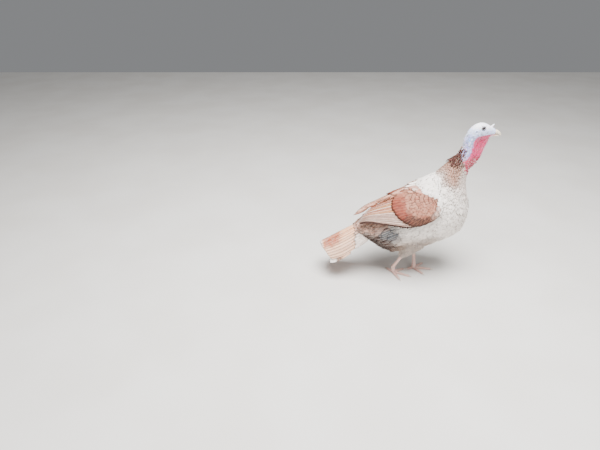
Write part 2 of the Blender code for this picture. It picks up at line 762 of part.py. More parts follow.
def toe_path(ankle, heading, length, radius, steps=7):
    """Centres and radii of a toe that comes down from the ankle and lies on the floor."""
    points = []
    radii = []
    onward = Vector((math.cos(heading), math.sin(heading), 0))
    for step in range(steps + 1):
        s = step / steps
        r = radius * (1 - 0.34 * s) * (1 + 0.09 * math.cos(4 * math.pi * s))
        drop = (1 - min(s / 0.42, 1.0)) ** 2
        z = r * 0.86 + (ankle.z * 0.55 - r * 0.86) * drop
        points.append(Vector((ankle.x, ankle.y, 0)) + onward * (length * (s * 1.06 - 0.06)) + Vector((0, 0, z)))
        radii.append((r * 1.08, r))
    return points, radii


def make_leg(label):
    """One leg: feathered thigh, bare shank, foot and four claws."""
    leg = LEGS[label]
    side = leg["side"]
    top = mirrored(leg["top"], side)
    hock = mirrored(leg["hock"], side)
    ankle = mirrored(leg["ankle"], side)
    down = (ankle - hock).normalized()
    outward = Vector((0, 1, 0))
    path = [top.lerp(hock, s) + Vector((0.010 * math.sin(math.pi * s), 0, 0)) for s in (0.0, 0.2, 0.4, 0.6, 0.8)]
    path += [hock - down * 0.008, hock]
    radii = [(0.018, 0.028), (0.031, 0.044), (0.033, 0.046), (0.029, 0.038), (0.023, 0.028),
             (0.018, 0.021), (0.014, 0.016)]
    thigh = tube(f"thigh_{label}", path, radii, 18, "grey feather", across=outward)
    combine(thigh, [segment("torso", CLEAR)], "DIFFERENCE")

    start = hock + down * CLEAR
    run = (ankle - start).length
    path = [start + down * (run * s) for s in (0.0, 0.12, 0.3, 0.55, 0.8, 1.0)]
    swell = (1.35, 1.12, 0.96, 0.92, 1.0, 1.22)
    radii = [(SHANK_RADIUS * w * 0.95, SHANK_RADIUS * w * 1.05) for w in swell]
    tube(f"shank_{label}", path, radii, 12, "leg scale", across=outward)

    foot_top = ankle + down * CLEAR
    base = Vector((ankle.x + 0.002, ankle.y, TOE_RADIUS * 0.5))
    path = [foot_top, foot_top + down * 0.005, foot_top.lerp(base, 0.65), base]
    joint = (SHANK_RADIUS * 1.16, SHANK_RADIUS * 1.28)
    foot = tube(f"foot_{label}", path, [joint, joint, 0.0086, 0.0074], 12, "leg scale", across=outward)
    toes = []
    claws = []
    for name, angle, length in TOES:
        heading = math.radians(leg["heading"] + angle * side)
        points, radii = toe_path(ankle, heading, length, TOE_RADIUS)
        onward = Vector((math.cos(heading), math.sin(heading), 0))
        toes.append(tube("toe", points, radii, 8, "leg scale", floor=0.0, facing=onward))
        claws.append((name, points[-1], onward, radii[-1][1]))
    combine(foot, toes, "UNION")
    for name, end, onward, radius in claws:
        points = []
        sizes = []
        for step in range(5):
            s = step / 4
            r = radius * (0.74 * (1 - s) ** 0.8 + 0.13)
            z = end.z * (1 + 0.25 * s - 0.8 * s * s)
            points.append(Vector((end.x, end.y, 0)) + onward * (CLEAR + CLAW_LENGTH * s)
                          + Vector((0, 0, max(z, r + CLEAR))))
            sizes.append((r * 0.9, r))
        tube(f"claw_{label}_{name}", points, sizes, 6, "horn", facing=onward)


def set_origin(collection):
    """Stand the bird's box on the origin: an empty carries all pieces to its middle."""
    corners = [piece.matrix_world @ Vector(corner) for piece in collection.objects for corner in piece.bound_box]
    middle = [(min(c[axis] for c in corners) + max(c[axis] for c in corners)) / 2 for axis in (0, 1)]
    carrier = bpy.data.objects.new("turkey_origin", None)
    bpy.context.scene.collection.objects.link(carrier)
    carrier.location = (-middle[0], -middle[1], 0)
    for piece in collection.objects:
        piece.parent = carrier


def main():
    for old in list(bpy.data.objects):
        bpy.data.objects.remove(old)
    collection = bpy.data.collections.new("Turkey hen")
    bpy.context.scene.collection.children.link(collection)
    make_head()
    make_bill()
    make_snood()
    make_dewlap()
    make_neck()
    make_torso()
    make_tail()
    for side, label in ((1, "left"), (-1, "right")):
        make_eye(side, label)
        make_wing(side, label)
        make_leg(label)
    bpy.context.view_layer.update()
    set_origin(collection)


main()
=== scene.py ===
"""A light crossbred turkey hen, life size, in a slow walk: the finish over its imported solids.

Lengths are in metres. The bird faces +X with its right side towards -Y, on the floor at z = 0.
The tables hold the bird in its drawing's place, and every mesh is moved by SHIFT to the frame's.
"""

import json
import math

import bmesh
import bpy
import numpy as np
from bpy.props import FloatProperty, FloatVectorProperty, IntProperty, PointerProperty
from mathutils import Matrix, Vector, noise

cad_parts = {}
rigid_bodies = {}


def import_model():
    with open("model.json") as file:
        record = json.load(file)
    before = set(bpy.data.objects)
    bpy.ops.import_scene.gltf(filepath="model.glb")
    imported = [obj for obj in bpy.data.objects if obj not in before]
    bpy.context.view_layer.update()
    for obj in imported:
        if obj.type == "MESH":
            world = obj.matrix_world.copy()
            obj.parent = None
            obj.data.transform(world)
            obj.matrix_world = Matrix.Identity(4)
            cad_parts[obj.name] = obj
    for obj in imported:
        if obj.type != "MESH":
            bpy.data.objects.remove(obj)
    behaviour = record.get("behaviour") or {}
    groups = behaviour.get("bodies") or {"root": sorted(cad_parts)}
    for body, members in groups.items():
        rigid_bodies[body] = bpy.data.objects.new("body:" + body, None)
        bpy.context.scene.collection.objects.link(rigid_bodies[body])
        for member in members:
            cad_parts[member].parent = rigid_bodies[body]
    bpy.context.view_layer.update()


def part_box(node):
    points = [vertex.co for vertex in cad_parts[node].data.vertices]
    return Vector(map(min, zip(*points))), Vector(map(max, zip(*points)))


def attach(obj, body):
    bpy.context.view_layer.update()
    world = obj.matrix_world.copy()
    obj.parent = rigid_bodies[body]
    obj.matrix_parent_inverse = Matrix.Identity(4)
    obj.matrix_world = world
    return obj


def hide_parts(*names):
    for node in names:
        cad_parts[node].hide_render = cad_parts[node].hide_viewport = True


bl_info = {
    "name": "Turkey hen",
    "version": (1, 0, 0),
    "blender": (4, 5, 0),
    "location": "3D View > Sidebar > Turkey",
    "description": "Skin, bill, legs and plumage of a life-size turkey hen",
    "category": "Add Mesh",
}

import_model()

EYE_CENTRE = (0.6350, 0.0138, 0.6115)
EYE_RADIUS = 0.0061
AHEAD = (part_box("eye_right")[0][0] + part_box("eye_right")[1][0]) / 2 - EYE_CENTRE[0]
SHIFT = np.array((AHEAD, 0, 0))

# Sections of the trunk and neck: back x, back z, belly x, belly z, half width.
BODY = (
    (0.586, 0.584, 0.634, 0.556, 0.0190),
    (0.581, 0.566, 0.630, 0.542, 0.0195),
    (0.580, 0.540, 0.628, 0.520, 0.0215),
    (0.573, 0.512, 0.624, 0.488, 0.0265),
    (0.552, 0.490, 0.614, 0.452, 0.0370),
    (0.526, 0.463, 0.614, 0.405, 0.0500),
    (0.498, 0.434, 0.628, 0.345, 0.0680),
    (0.468, 0.411, 0.640, 0.285, 0.0850),
    (0.438, 0.388, 0.632, 0.225, 0.0950),
    (0.403, 0.360, 0.600, 0.186, 0.0990),
    (0.366, 0.333, 0.552, 0.163, 0.0990),
    (0.328, 0.308, 0.500, 0.141, 0.0950),
    (0.294, 0.286, 0.447, 0.122, 0.0890),
    (0.266, 0.268, 0.395, 0.115, 0.0810),
    (0.246, 0.252, 0.350, 0.125, 0.0690),
    (0.230, 0.238, 0.312, 0.147, 0.0590),
    (0.216, 0.224, 0.285, 0.166, 0.0480),
)
RUMP = len(BODY) - 1.0
BELLY_TAPER = 0.07
HEAD = (
    (0.586, 0.584, 0.634, 0.556, 0.0190),
    (0.592, 0.600, 0.641, 0.562, 0.0196),
    (0.604, 0.6145, 0.647, 0.566, 0.0202),
    (0.620, 0.6240, 0.652, 0.5685, 0.0203),
    (0.636, 0.6262, 0.657, 0.571, 0.0196),
    (0.652, 0.6215, 0.663, 0.5735, 0.0176),
    (0.668, 0.6125, 0.670, 0.5765, 0.0148),
    (0.683, 0.6045, 0.678, 0.578, 0.0118),
)
BILL_UPPER = (
    (0.6801, 0.6040, 0.6771, 0.5892, 0.0108),
    (0.691, 0.6012, 0.6880, 0.5882, 0.0096),
    (0.698, 0.5965, 0.6952, 0.5864, 0.0078),
    (0.7038, 0.5912, 0.7012, 0.5836, 0.0055),
    (0.7075, 0.5850, 0.7062, 0.5802, 0.0026),
)
BILL_LOWER = (
    (0.6770, 0.5886, 0.6752, 0.5790, 0.0102),
    (0.6875, 0.5874, 0.6868, 0.5786, 0.0086),
    (0.6946, 0.5856, 0.6944, 0.5790, 0.0068),
    (0.7004, 0.5828, 0.7008, 0.5802, 0.0036),
)
SNOOD_PATH = ((0.6640, 0, 0.6040), (0.6675, 0, 0.6080), (0.6700, 0, 0.6140), (0.6730, 0, 0.6185),
              (0.6765, 0, 0.6225))
SNOOD_RADII = (0.0050, 0.0046, 0.0040, 0.0027, 0.0012)
EAR_CENTRE = (0.6130, 0.0200, 0.5985)
EAR_RADIUS = 0.0042
# The dewlap from the chin down: root x, z, free edge x, z, half thickness at root and edge.
DEWLAP = (
    (0.634, 0.5800, 0.6700, 0.5790, 0.0125, 0.0050),
    (0.622, 0.5620, 0.6685, 0.5610, 0.0130, 0.0042),
    (0.618, 0.5440, 0.6625, 0.5440, 0.0130, 0.0036),
    (0.616, 0.5260, 0.6585, 0.5250, 0.0130, 0.0034),
    (0.614, 0.5080, 0.6520, 0.5060, 0.0130, 0.0036),
    (0.609, 0.4900, 0.6420, 0.4870, 0.0130, 0.0040),
    (0.602, 0.4720, 0.6300, 0.4690, 0.0125, 0.0044),
    (0.595, 0.4560, 0.6165, 0.4520, 0.0110, 0.0046),
)
# The wing's sheet from wrist to tip: upper edge x, out, z, lower edge x, out, z, bulge.
WING = (
    (0.516, 0.082, 0.362, 0.513, 0.096, 0.342, 0.003),
    (0.492, 0.070, 0.383, 0.490, 0.110, 0.313, 0.008),
    (0.440, 0.046, 0.384, 0.442, 0.116, 0.284, 0.015),
    (0.395, 0.024, 0.366, 0.396, 0.115, 0.276, 0.016),
    (0.350, 0.009, 0.344, 0.350, 0.106, 0.278, 0.014),
    (0.300, 0.006, 0.317, 0.297, 0.086, 0.276, 0.009),
    (0.252, 0.006, 0.288, 0.250, 0.062, 0.269, 0.006),
    (0.214, 0.008, 0.254, 0.212, 0.038, 0.246, 0.002),
)
# The tail's sheet from root to tip: ridge x, z, half width, drop of the edge.
TAIL = (
    (0.262, 0.244, 0.046, 0.064),
    (0.215, 0.218, 0.058, 0.074),
    (0.170, 0.190, 0.065, 0.074),
    (0.125, 0.162, 0.063, 0.064),
    (0.080, 0.135, 0.054, 0.046),
)
TAIL_ARCH = math.radians(75)
LEGS = {
    "left": {"side": 1, "top": (0.462, 0.050, 0.222), "hock": (0.470, 0.036, 0.106),
             "ankle": (0.474, 0.014, 0.0215), "heading": -8.0},
    "right": {"side": -1, "top": (0.440, 0.050, 0.218), "hock": (0.408, 0.042, 0.106),
              "ankle": (0.382, 0.015, 0.0290), "heading": -26.0},
}
THIGH_RADII = ((0.018, 0.028), (0.031, 0.044), (0.033, 0.046), (0.029, 0.038), (0.023, 0.028),
               (0.016, 0.018))
TOES = (("inner", -48.0, 0.050), ("middle", 0.0, 0.068), ("outer", 44.0, 0.052), ("hind", 205.0, 0.026))
SHANK_RADIUS = 0.0062
TOE_RADIUS = 0.0058
CLAW_LENGTH = 0.013
CLEAR = 0.0003


def linear(code):
    """A hex sRGB colour as linear light."""
    channels = (int(code[i:i + 2], 16) / 255 for i in (1, 3, 5))
    return tuple(c / 12.92 if c <= 0.04045 else ((c + 0.055) / 1.055) ** 2.4 for c in channels)


def smooth(value, low, high):
    """0 below low, 1 above high, eased between."""
    t = np.clip((np.asarray(value, float) - low) / (high - low), 0, 1)
    return t * t * (3 - 2 * t)


def blend(base, over, weight):
    """One set of colours laid over another by a weight for each row."""
    weight = np.clip(np.asarray(weight, float), 0, 1)[..., None]
    return np.asarray(base, float) * (1 - weight) + np.asarray(over, float) * weight


def unit(vectors):
    return vectors / np.maximum(np.linalg.norm(vectors, axis=-1, keepdims=True), 1e-12)


def rough(points, size, octaves=2):
    """A soft noise of about -1 to 1 with features of the given size."""
    return np.array([noise.fractal(Vector(p) / size, 1.0, 2.0, octaves) for p in points.reshape(-1, 3)])


# Surfaces that the solids share

def curve_at(table, t):
    """The Catmull-Rom curve through a table's rows at every t, one row a unit."""
    rows = np.asarray(table, float)
    last = len(rows) - 1
    t = np.clip(np.asarray(t, float), 0, last)
    i = np.minimum(t.astype(int), last - 1)
    f = (t - i)[..., None]
    rows = np.vstack([2 * rows[0] - rows[1], rows, 2 * rows[-1] - rows[-2]])
    a, b, c, d = (rows[i + k] for k in range(4))
    return 0.5 * (2 * b + (c - a) * f + (2 * a - 5 * b + 4 * c - d) * f ** 2
                  + (3 * b - a - 3 * c + d) * f ** 3)


def oval(rows, angle, lift=0.0, taper=BELLY_TAPER):
    """Points on sections at angles from the back line, the +Y side first."""
    zero = np.zeros_like(rows[..., 0])
    back = np.stack([rows[..., 0], zero, rows[..., 1]], -1)
    belly = np.stack([rows[..., 2], zero, rows[..., 3]], -1)
    half = (back - belly) / 2
    tall = np.linalg.norm(half, axis=-1)
    points = (back + belly) / 2 + half / tall[..., None] * ((tall + lift) * np.cos(angle))[..., None]
    points[..., 1] += (rows[..., 4] + lift) * np.sin(angle) * (1 + taper * np.cos(angle))
    return points


def body_surface(t, angle, lift=0.0):
    t, angle = np.broadcast_arrays(np.asarray(t, float), np.asarray(angle, float))
    return oval(curve_at(BODY, t), angle, lift)


def wing_sheet(u, v):
    """The outer face of the folded left wing: u from wrist to tip, v from upper to lower edge."""
    u, v = np.broadcast_arrays(np.asarray(u, float), np.asarray(v, float))
    row = curve_at(WING, u * (len(WING) - 1))
    chord = row[..., 3:6] - row[..., 0:3]
    outward = unit(np.stack([np.zeros_like(u), -chord[..., 2], chord[..., 1]], -1))
    rise = row[..., 6] * np.sin(np.pi * np.clip(v, 0, 1))
    return row[..., 0:3] + chord * v[..., None] + outward * rise[..., None]


def tail_sheet(u, v):
    """The upper face of the closed tail: v is 0 on the ridge and 1 and -1 at the outer edges."""
    u, v = np.broadcast_arrays(np.asarray(u, float), np.asarray(v, float))
    row = curve_at(TAIL, u * (len(TAIL) - 1))
    out = row[..., 2] * np.sin(v * TAIL_ARCH) / math.sin(TAIL_ARCH)
    down = row[..., 3] * (1 - np.cos(v * TAIL_ARCH)) / (1 - math.cos(TAIL_ARCH))
    return np.stack([row[..., 0], out, row[..., 1] - down], -1)


def thigh_surface(label, grow=0.0):
    """The surface (s, angle) of the feathered thigh, from the trunk to the hock."""
    leg = LEGS[label]
    top, hock = (np.array(leg[key]) * (1, leg["side"], 1) for key in ("top", "hock"))
    down = unit(hock - top)
    front = unit(np.array([1.0, 0, 0]) - down * down[0])
    side = np.cross(down, front)

    def surface(s, angle):
        s, angle = np.broadcast_arrays(np.asarray(s, float), np.asarray(angle, float))
        wide, tall = np.moveaxis(curve_at(THIGH_RADII, s * (len(THIGH_RADII) - 1)), -1, 0)
        centre = top + (hock - top) * s[..., None]
        centre[..., 0] += 0.010 * np.sin(np.pi * np.clip(s, 0, 1))
        return (centre + front * ((tall + grow) * np.cos(angle))[..., None]
                + side * ((wide + grow) * np.sin(angle))[..., None])

    return surface


def lie_on(surface, a, b):
    """Point, direction of growing a, and outward normal at every (a, b) of a surface."""
    step = 1e-3
    inside = np.maximum(a, step)
    along = surface(inside + step, b) - surface(inside - step, b)
    across = surface(inside, b + step) - surface(inside, b - step)
    return surface(a, b), unit(along), unit(np.cross(across, along))


def mirror(points, side):
    return points * (1, side, 1)


# Making meshes

def new_object(name, data):
    """An object in the scene, at its origin."""
    thing = bpy.data.objects.new(name, data)
    bpy.context.scene.collection.objects.link(thing)
    return thing


def new_piece(name, mesh, material, slot, *nodes):
    """A finished piece: it rides on the one body and may stand for solids. Its slot is not used."""
    piece = new_object(name, mesh)
    mesh.name = name
    mesh.materials.clear()
    mesh.materials.append(material)
    mesh.shade_smooth()
    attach(piece, "root")
    if nodes:
        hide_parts(*nodes)
    return piece


def four_values(colours, fourth=1.0):
    """Colours with a fourth value each, or as they are where they have one."""
    colours = np.asarray(colours, float)
    if colours.shape[-1] == 4:
        return colours
    return np.concatenate([colours, np.broadcast_to(fourth, colours.shape[:-1])[..., None]], -1)


def colour_attribute(mesh, name, values):
    """A colour for each vertex, with a fourth value of 1 where none is given."""
    layer = mesh.attributes.new(name, "FLOAT_COLOR", "POINT")
    layer.data.foreach_set("color", four_values(values).astype(np.float32).ravel())


def places_of(mesh):
    flat = np.empty(len(mesh.vertices) * 3, np.float32)
    mesh.vertices.foreach_get("co", flat)
    return flat.reshape(-1, 3).astype(float)


def normals_of(mesh):
    flat = np.empty(len(mesh.vertices) * 3, np.float32)
    mesh.vertex_normals.foreach_get("vector", flat)
    return flat.reshape(-1, 3).astype(float)


def put_places(mesh, points):
    mesh.vertices.foreach_set("co", points.astype(np.float32).ravel())
    mesh.update()


class Clay:
    """Closed rough shapes that are kept as they are or melted into one skin."""

    def __init__(self):
        self.points = []
        self.faces = []

    def loft(self, rings, loop=False):
        """Rings of equal count; capped at both ends, or joined into a loop."""
        rings = np.asarray(rings, float)
        rows, count = rings.shape[:2]
        start = len(self.points)
        self.points.extend(rings.reshape(-1, 3).tolist())
        for r in range(rows if loop else rows - 1):
            near = start + r * count
            far = start + (r + 1) % rows * count
            self.faces.extend((near + k, near + (k + 1) % count, far + (k + 1) % count, far + k)
                              for k in range(count))
        if not loop:
            self.faces.append(tuple(range(start + count - 1, start - 1, -1)))
            self.faces.append(tuple(range(start + (rows - 1) * count, start + rows * count)))

    def ball(self, centre, radii):
        tilt, turn = np.meshgrid(np.linspace(0.08, math.pi - 0.08, 14),
                                 np.linspace(0, 2 * math.pi, 20, endpoint=False), indexing="ij")
        ball = np.stack([np.sin(tilt) * np.cos(turn), np.sin(tilt) * np.sin(turn), np.cos(tilt)], -1)
        self.loft(np.asarray(centre) + ball * np.asarray(radii))

    def tube(self, path, radii, across, count=20):
        """An oval tube; radii are (along across, square to it) at each point of the path."""
        path = np.asarray(path, float)
        across = np.asarray(across, float)
        onward = unit(np.gradient(path, axis=0))
        across = unit(across - onward * (onward @ across)[:, None])
        upward = np.cross(across, onward)
        angle = np.linspace(0, 2 * math.pi, count, endpoint=False)
        wide, tall = np.asarray(radii, float).T
        self.loft(path[:, None] + across[:, None] * (wide[:, None] * np.cos(angle))[..., None]
                  + upward[:, None] * (tall[:, None] * np.sin(angle))[..., None])

    def hoop(self, centre, across, upward, radii, thick):
        """A closed ring of flesh round an eye or an ear."""
        turn = np.linspace(0, 2 * math.pi, 36, endpoint=False)[:, None, None]
        round_ = np.linspace(0, 2 * math.pi, 10, endpoint=False)[None, :, None]
        across, upward = np.asarray(across, float), np.asarray(upward, float)
        outward = across * np.cos(turn) + upward * np.sin(turn)
        path = np.asarray(centre) + across * np.cos(turn) * radii[0] + upward * np.sin(turn) * radii[1]
        self.loft(path + (outward * np.cos(round_) + np.cross(across, upward) * np.sin(round_)) * thick,
                  loop=True)

    def mesh(self, name):
        """The shapes as they are, at the frame's place and with their normals outward."""
        mesh = bpy.data.meshes.new(name)
        mesh.from_pydata((np.asarray(self.points) + SHIFT).tolist(), [], self.faces)
        bm = bmesh.new()
        bm.from_mesh(mesh)
        bmesh.ops.recalc_face_normals(bm, faces=bm.faces)
        bm.to_mesh(mesh)
        bm.free()
        return mesh

    def melt(self, voxel, rounds):
        """One closed mesh of all the shapes, evened out."""
        work = new_object("clay", self.mesh("clay"))
        remesh = work.modifiers.new("melt", "REMESH")
        remesh.mode = "VOXEL"
        remesh.voxel_size = voxel
        even = work.modifiers.new("even", "SMOOTH")
        even.factor = 0.5
        even.iterations = rounds
        graph = bpy.context.evaluated_depsgraph_get()
        melted = bpy.data.meshes.new_from_object(work.evaluated_get(graph), depsgraph=graph)
        bpy.data.objects.remove(work)
        return melted


def refine(mesh, chosen):
    """Cut in four every face whose middle is chosen."""
    bm = bmesh.new()
    bm.from_mesh(mesh)
    middles = np.array([face.calc_center_median() for face in bm.faces])
    wanted = chosen(middles)
    edges = {edge for face, want in zip(bm.faces, wanted) if want for edge in face.edges}
    bmesh.ops.subdivide_edges(bm, edges=list(edges), cuts=1, use_grid_fill=True)
    bmesh.ops.triangulate(bm, faces=[face for face in bm.faces if len(face.verts) > 4])
    bm.to_mesh(mesh)
    bm.free()


def lens(middle, normal, thick):
    """A thin closed vane round a grid, root to tip by across: points, faces, place on the vane."""
    rows, columns = middle.shape[:2]
    along, across = np.meshgrid(np.linspace(0, 1, rows), np.linspace(0, 1, columns), indexing="ij")
    plump = thick * (1 - (2 * across - 1) ** 2) * np.sin(np.pi * (0.03 + 0.94 * along)) ** 0.4 / 2
    top = middle + normal * plump[..., None]
    under = (middle - normal * plump[..., None])[1:-1, 1:-1]
    upper = np.arange(rows * columns).reshape(rows, columns)
    lower = upper.copy()
    lower[1:-1, 1:-1] = rows * columns + np.arange(under[..., 0].size).reshape(under.shape[:2])
    faces = [np.stack([g[:-1, :-1], g[:-1, 1:], g[1:, 1:], g[1:, :-1]], -1).reshape(-1, 4)
             for g in (upper, lower)]
    facing = np.cross(middle[0, -1] - middle[0, 0] + middle[1, -1] - middle[1, 0],
                      middle[1, 0] - middle[0, 0])
    turned = int(facing @ normal[0, 0] > 0)
    faces[turned] = faces[turned][:, ::-1]
    place = np.stack([across, along], -1)
    return (np.vstack([top.reshape(-1, 3), under.reshape(-1, 3)]), np.vstack(faces),
            np.vstack([place.reshape(-1, 2), place[1:-1, 1:-1].reshape(-1, 2)]))


COAT_VALUES = ("tone", "rim", "mark", "form")


class Sheaf:
    """Large vanes of one piece, with the values that their material reads."""

    def __init__(self):
        self.parts = {key: [] for key in ("points", "faces", "vane", "bake", *COAT_VALUES)}
        self.count = 0

    def add(self, middle, normal, thick, strip, **values):
        """strip is the vane's part of the bake map; a value is one colour or a grid of them."""
        points, faces, vane = lens(middle, normal, thick)
        low, high = np.asarray(strip, float)
        self.parts["points"].append(points)
        self.parts["faces"].append(faces + self.count)
        self.parts["vane"].append(vane)
        self.parts["bake"].append(low + vane * (high - low))
        for name in COAT_VALUES:
            value = np.broadcast_to(four_values(values[name]), (*middle.shape[:2], 4))
            self.parts[name].append(np.vstack([value.reshape(-1, 4), value[1:-1, 1:-1].reshape(-1, 4)]))
        self.count += len(points)

    def mesh(self, name):
        whole = {key: np.vstack(held) for key, held in self.parts.items()}
        mesh = bpy.data.meshes.new(name)
        mesh.from_pydata((whole["points"] + SHIFT).tolist(), [], whole["faces"].tolist())
        corners = whole["faces"].ravel()
        for title, key in (("vane", "vane"), ("OFBake", "bake")):
            layer = mesh.uv_layers.new(name=title)
            layer.uv.foreach_set("vector", whole[key][corners].astype(np.float32).ravel())
        for title in COAT_VALUES:
            colour_attribute(mesh, title, whole[title])
        return mesh


# Nodes

RANGE = "ShaderNodeMapRange"
MATH = "ShaderNodeMath"
MIX = "ShaderNodeMix"
EASED = {"interpolation_type": "SMOOTHSTEP"}


def add(tree, kind, inputs=(), out=0, **settings):
    """Add a node with its settings and return an output; an input is a value or a socket to link.

    The inputs are in order, or by name or number where they are a dictionary.
    """
    node = tree.nodes.new(kind)
    for name, value in settings.items():
        setattr(node, name, value)
    for key, value in (inputs.items() if isinstance(inputs, dict) else enumerate(inputs)):
        if isinstance(value, bpy.types.NodeSocket):
            tree.links.new(value, node.inputs[key])
        else:
            node.inputs[key].default_value = value
    return node.outputs if out is None else node.outputs[out]


def blank_material(name, roughness, **shader_inputs):
    """A Principled material, its tree and its shader."""
    material = bpy.data.materials.new(name)
    material.use_nodes = True
    shader = material.node_tree.nodes["Principled BSDF"]
    shader.inputs["Roughness"].default_value = roughness
    for key, value in shader_inputs.items():
        shader.inputs[key.replace("_", " ")].default_value = value
    return material, material.node_tree, shader


def feather_material(name, aspect, rim, line, streaks, shaft, fluff, roughness=0.74):
    """Keratin vanes: dull, finely grooved by barbs, with a smooth shaft and a downy base.

    aspect is length over width. rim and line are the widths, in vane widths, of the pale edge and
    of the dark line inside it. streaks is how strong the dark streaks along the vane are. fluff is
    how far up the darker downy base reaches: the down's own grey, with painted shade where the vanes
    above cover it. Barbs are drawn far coarser than real ones, to show.
    """
    material, tree, shader = blank_material(name, roughness)
    place = add(tree, "ShaderNodeUVMap", uv_map="vane")
    split = add(tree, "ShaderNodeSeparateXYZ", (place,), None)
    along = split["Y"]
    edge = add(tree, MATH, (add(tree, RANGE, (split["X"], 0.0, 1.0, -1.0, 1.0)),), operation="ABSOLUTE")
    held = {key: add(tree, "ShaderNodeAttribute", (), None, attribute_name=key) for key in COAT_VALUES}
    form = add(tree, "ShaderNodeSeparateColor", (held["form"]["Color"],), None)
    grain = add(tree, "ShaderNodeTexCoord", (), "Object")
    cloud = add(tree, "ShaderNodeTexNoise", {"Vector": grain, "Scale": 110.0, "Detail": 3.0})
    wobble = add(tree, RANGE, (cloud, 0.0, 1.0, -0.08, 0.08))
    from_tip = add(tree, RANGE, (along, 0.0, 1.0, aspect, 0.0))
    from_side = add(tree, RANGE, (edge, 0.0, 1.0, 0.5, 0.0))
    inset = add(tree, MATH, (from_tip, from_side), operation="MINIMUM")
    inset = add(tree, MATH, (inset, wobble), operation="ADD")
    layers = [(add(tree, RANGE, (cloud, 0.35, 0.75, 0.0, 0.25), **EASED), held["rim"]["Color"], "MIX")]
    if streaks:
        strip = add(tree, "ShaderNodeMapping", {"Vector": place, "Scale": (7.0, 1.3, 1.0)})
        own = add(tree, MATH, (form["Blue"], 40.0), operation="MULTIPLY")
        strip = add(tree, "ShaderNodeTexNoise", {"Vector": strip, "W": own, "Scale": 1.0, "Detail": 2.0},
                    noise_dimensions="4D")
        layers.append((add(tree, RANGE, (strip, 0.50, 0.66, 0.0, streaks), **EASED),
                       held["mark"]["Color"], "MIX"))
    if line:
        inner = add(tree, RANGE, (inset, rim + line, rim + line * 1.8, form["Red"], 0.0), **EASED)
        layers.append((add(tree, RANGE, (inset, rim * 0.8, rim + 0.02, 0.0, inner), **EASED),
                       held["mark"]["Color"], "MIX"))
    layers.append((add(tree, RANGE, (inset, rim * 0.5, rim * 1.1, form["Green"], 0.0), **EASED),
                   held["rim"]["Color"], "MIX"))
    reach = add(tree, "ShaderNodeVectorMath", (place, (0.5, 0.78, 0.0)), "Value", operation="DISTANCE")
    reach = add(tree, MATH, (reach, wobble), operation="ADD")
    layers += [
        (add(tree, RANGE, (reach, 0.10, 0.24, held["form"]["Alpha"], 0.0), **EASED),
         held["mark"]["Color"], "MIX"),
        (add(tree, RANGE, (edge, 0.02, 0.10, 0.50, 0.0), **EASED), (*linear(shaft), 1), "MIX"),
        # Darker downy base: the down's own grey, with painted shade where the vanes above cover it.
        (add(tree, RANGE, (along, 0.0, fluff, 0.40, 0.0), **EASED), (0.30, 0.28, 0.27, 1), "MULTIPLY"),
    ]
    lean = add(tree, MATH, (along, aspect), operation="MULTIPLY")
    lean = add(tree, MATH, (lean, edge), operation="SUBTRACT")
    barbs = add(tree, MATH, (add(tree, MATH, (lean, 60.0), operation="MULTIPLY"),), operation="SINE")
    # Painted shade in the grooves between barbs, with a random tint for each vane.
    groove = add(tree, RANGE, (barbs, -1.0, 1.0, 0.92, 1.0))
    tint = add(tree, RANGE, (form["Blue"], 0.0, 1.0, 0.86, 1.08))
    tint = add(tree, MATH, (groove, tint), operation="MULTIPLY")
    layers.append((1.0, add(tree, "ShaderNodeCombineColor", (tint, tint, tint)), "MULTIPLY"))
    base = held["tone"]["Color"]
    for share, over, kind in layers:
        base = add(tree, MIX, {0: share, 6: base, 7: over}, 2, data_type="RGBA", blend_type=kind)
    tree.links.new(base, shader.inputs["Base Color"])
    bump = add(tree, "ShaderNodeBump", {"Height": barbs, "Strength": 0.25, "Distance": 0.0002})
    tree.links.new(bump, shader.inputs["Normal"])
    return material


def skin_material(name, roughness, grain_mm, fold_mm, speck, freckle):
    """Living skin, soft and slightly moist, raised in papillae and creases, with painted shade in the
    creases.

    speck is the colour of the pale papillae, freckle that of the grey spots where the tone's
    fourth value allows them.
    """
    material, tree, shader = blank_material(name, roughness, Subsurface_Weight=0.10, Subsurface_Scale=0.002)
    place = add(tree, "ShaderNodeTexCoord", (), "Object")
    tone = add(tree, "ShaderNodeAttribute", (), None, attribute_name="tone")
    grain = add(tree, "ShaderNodeTexVoronoi", {"Vector": place, "Scale": 1000 / grain_mm})
    folds = add(tree, "ShaderNodeTexNoise", {"Vector": place, "Scale": 1000 / fold_mm, "Detail": 4.0,
                                             "Distortion": 0.8})
    patches = add(tree, "ShaderNodeTexNoise", {"Vector": place, "Scale": 1000 / (fold_mm * 0.8),
                                               "Detail": 3.0})
    base = tone["Color"]
    for share, over, kind in (
            (add(tree, RANGE, (patches, 0.50, 0.62, 0.0, tone["Alpha"]), **EASED),
             (*linear(freckle), 1), "MIX"),
            (add(tree, RANGE, (grain, 0.10, 0.42, 0.30, 0.0), **EASED), (*linear(speck), 1), "MIX"),
            # Painted shade: darker in the creases, where the folds' bump is low.
            (add(tree, RANGE, (folds, 0.25, 0.50, 0.35, 0.0), **EASED), (0.42, 0.24, 0.26, 1), "MULTIPLY")):
        base = add(tree, MIX, {0: share, 6: base, 7: over}, 2, data_type="RGBA", blend_type=kind)
    tree.links.new(base, shader.inputs["Base Color"])
    low = add(tree, "ShaderNodeBump", {"Height": folds, "Strength": 0.5, "Distance": 0.0010})
    high = add(tree, "ShaderNodeBump", {"Height": grain, "Strength": 0.4, "Distance": 0.0004, "Normal": low})
    tree.links.new(high, shader.inputs["Normal"])
    return material


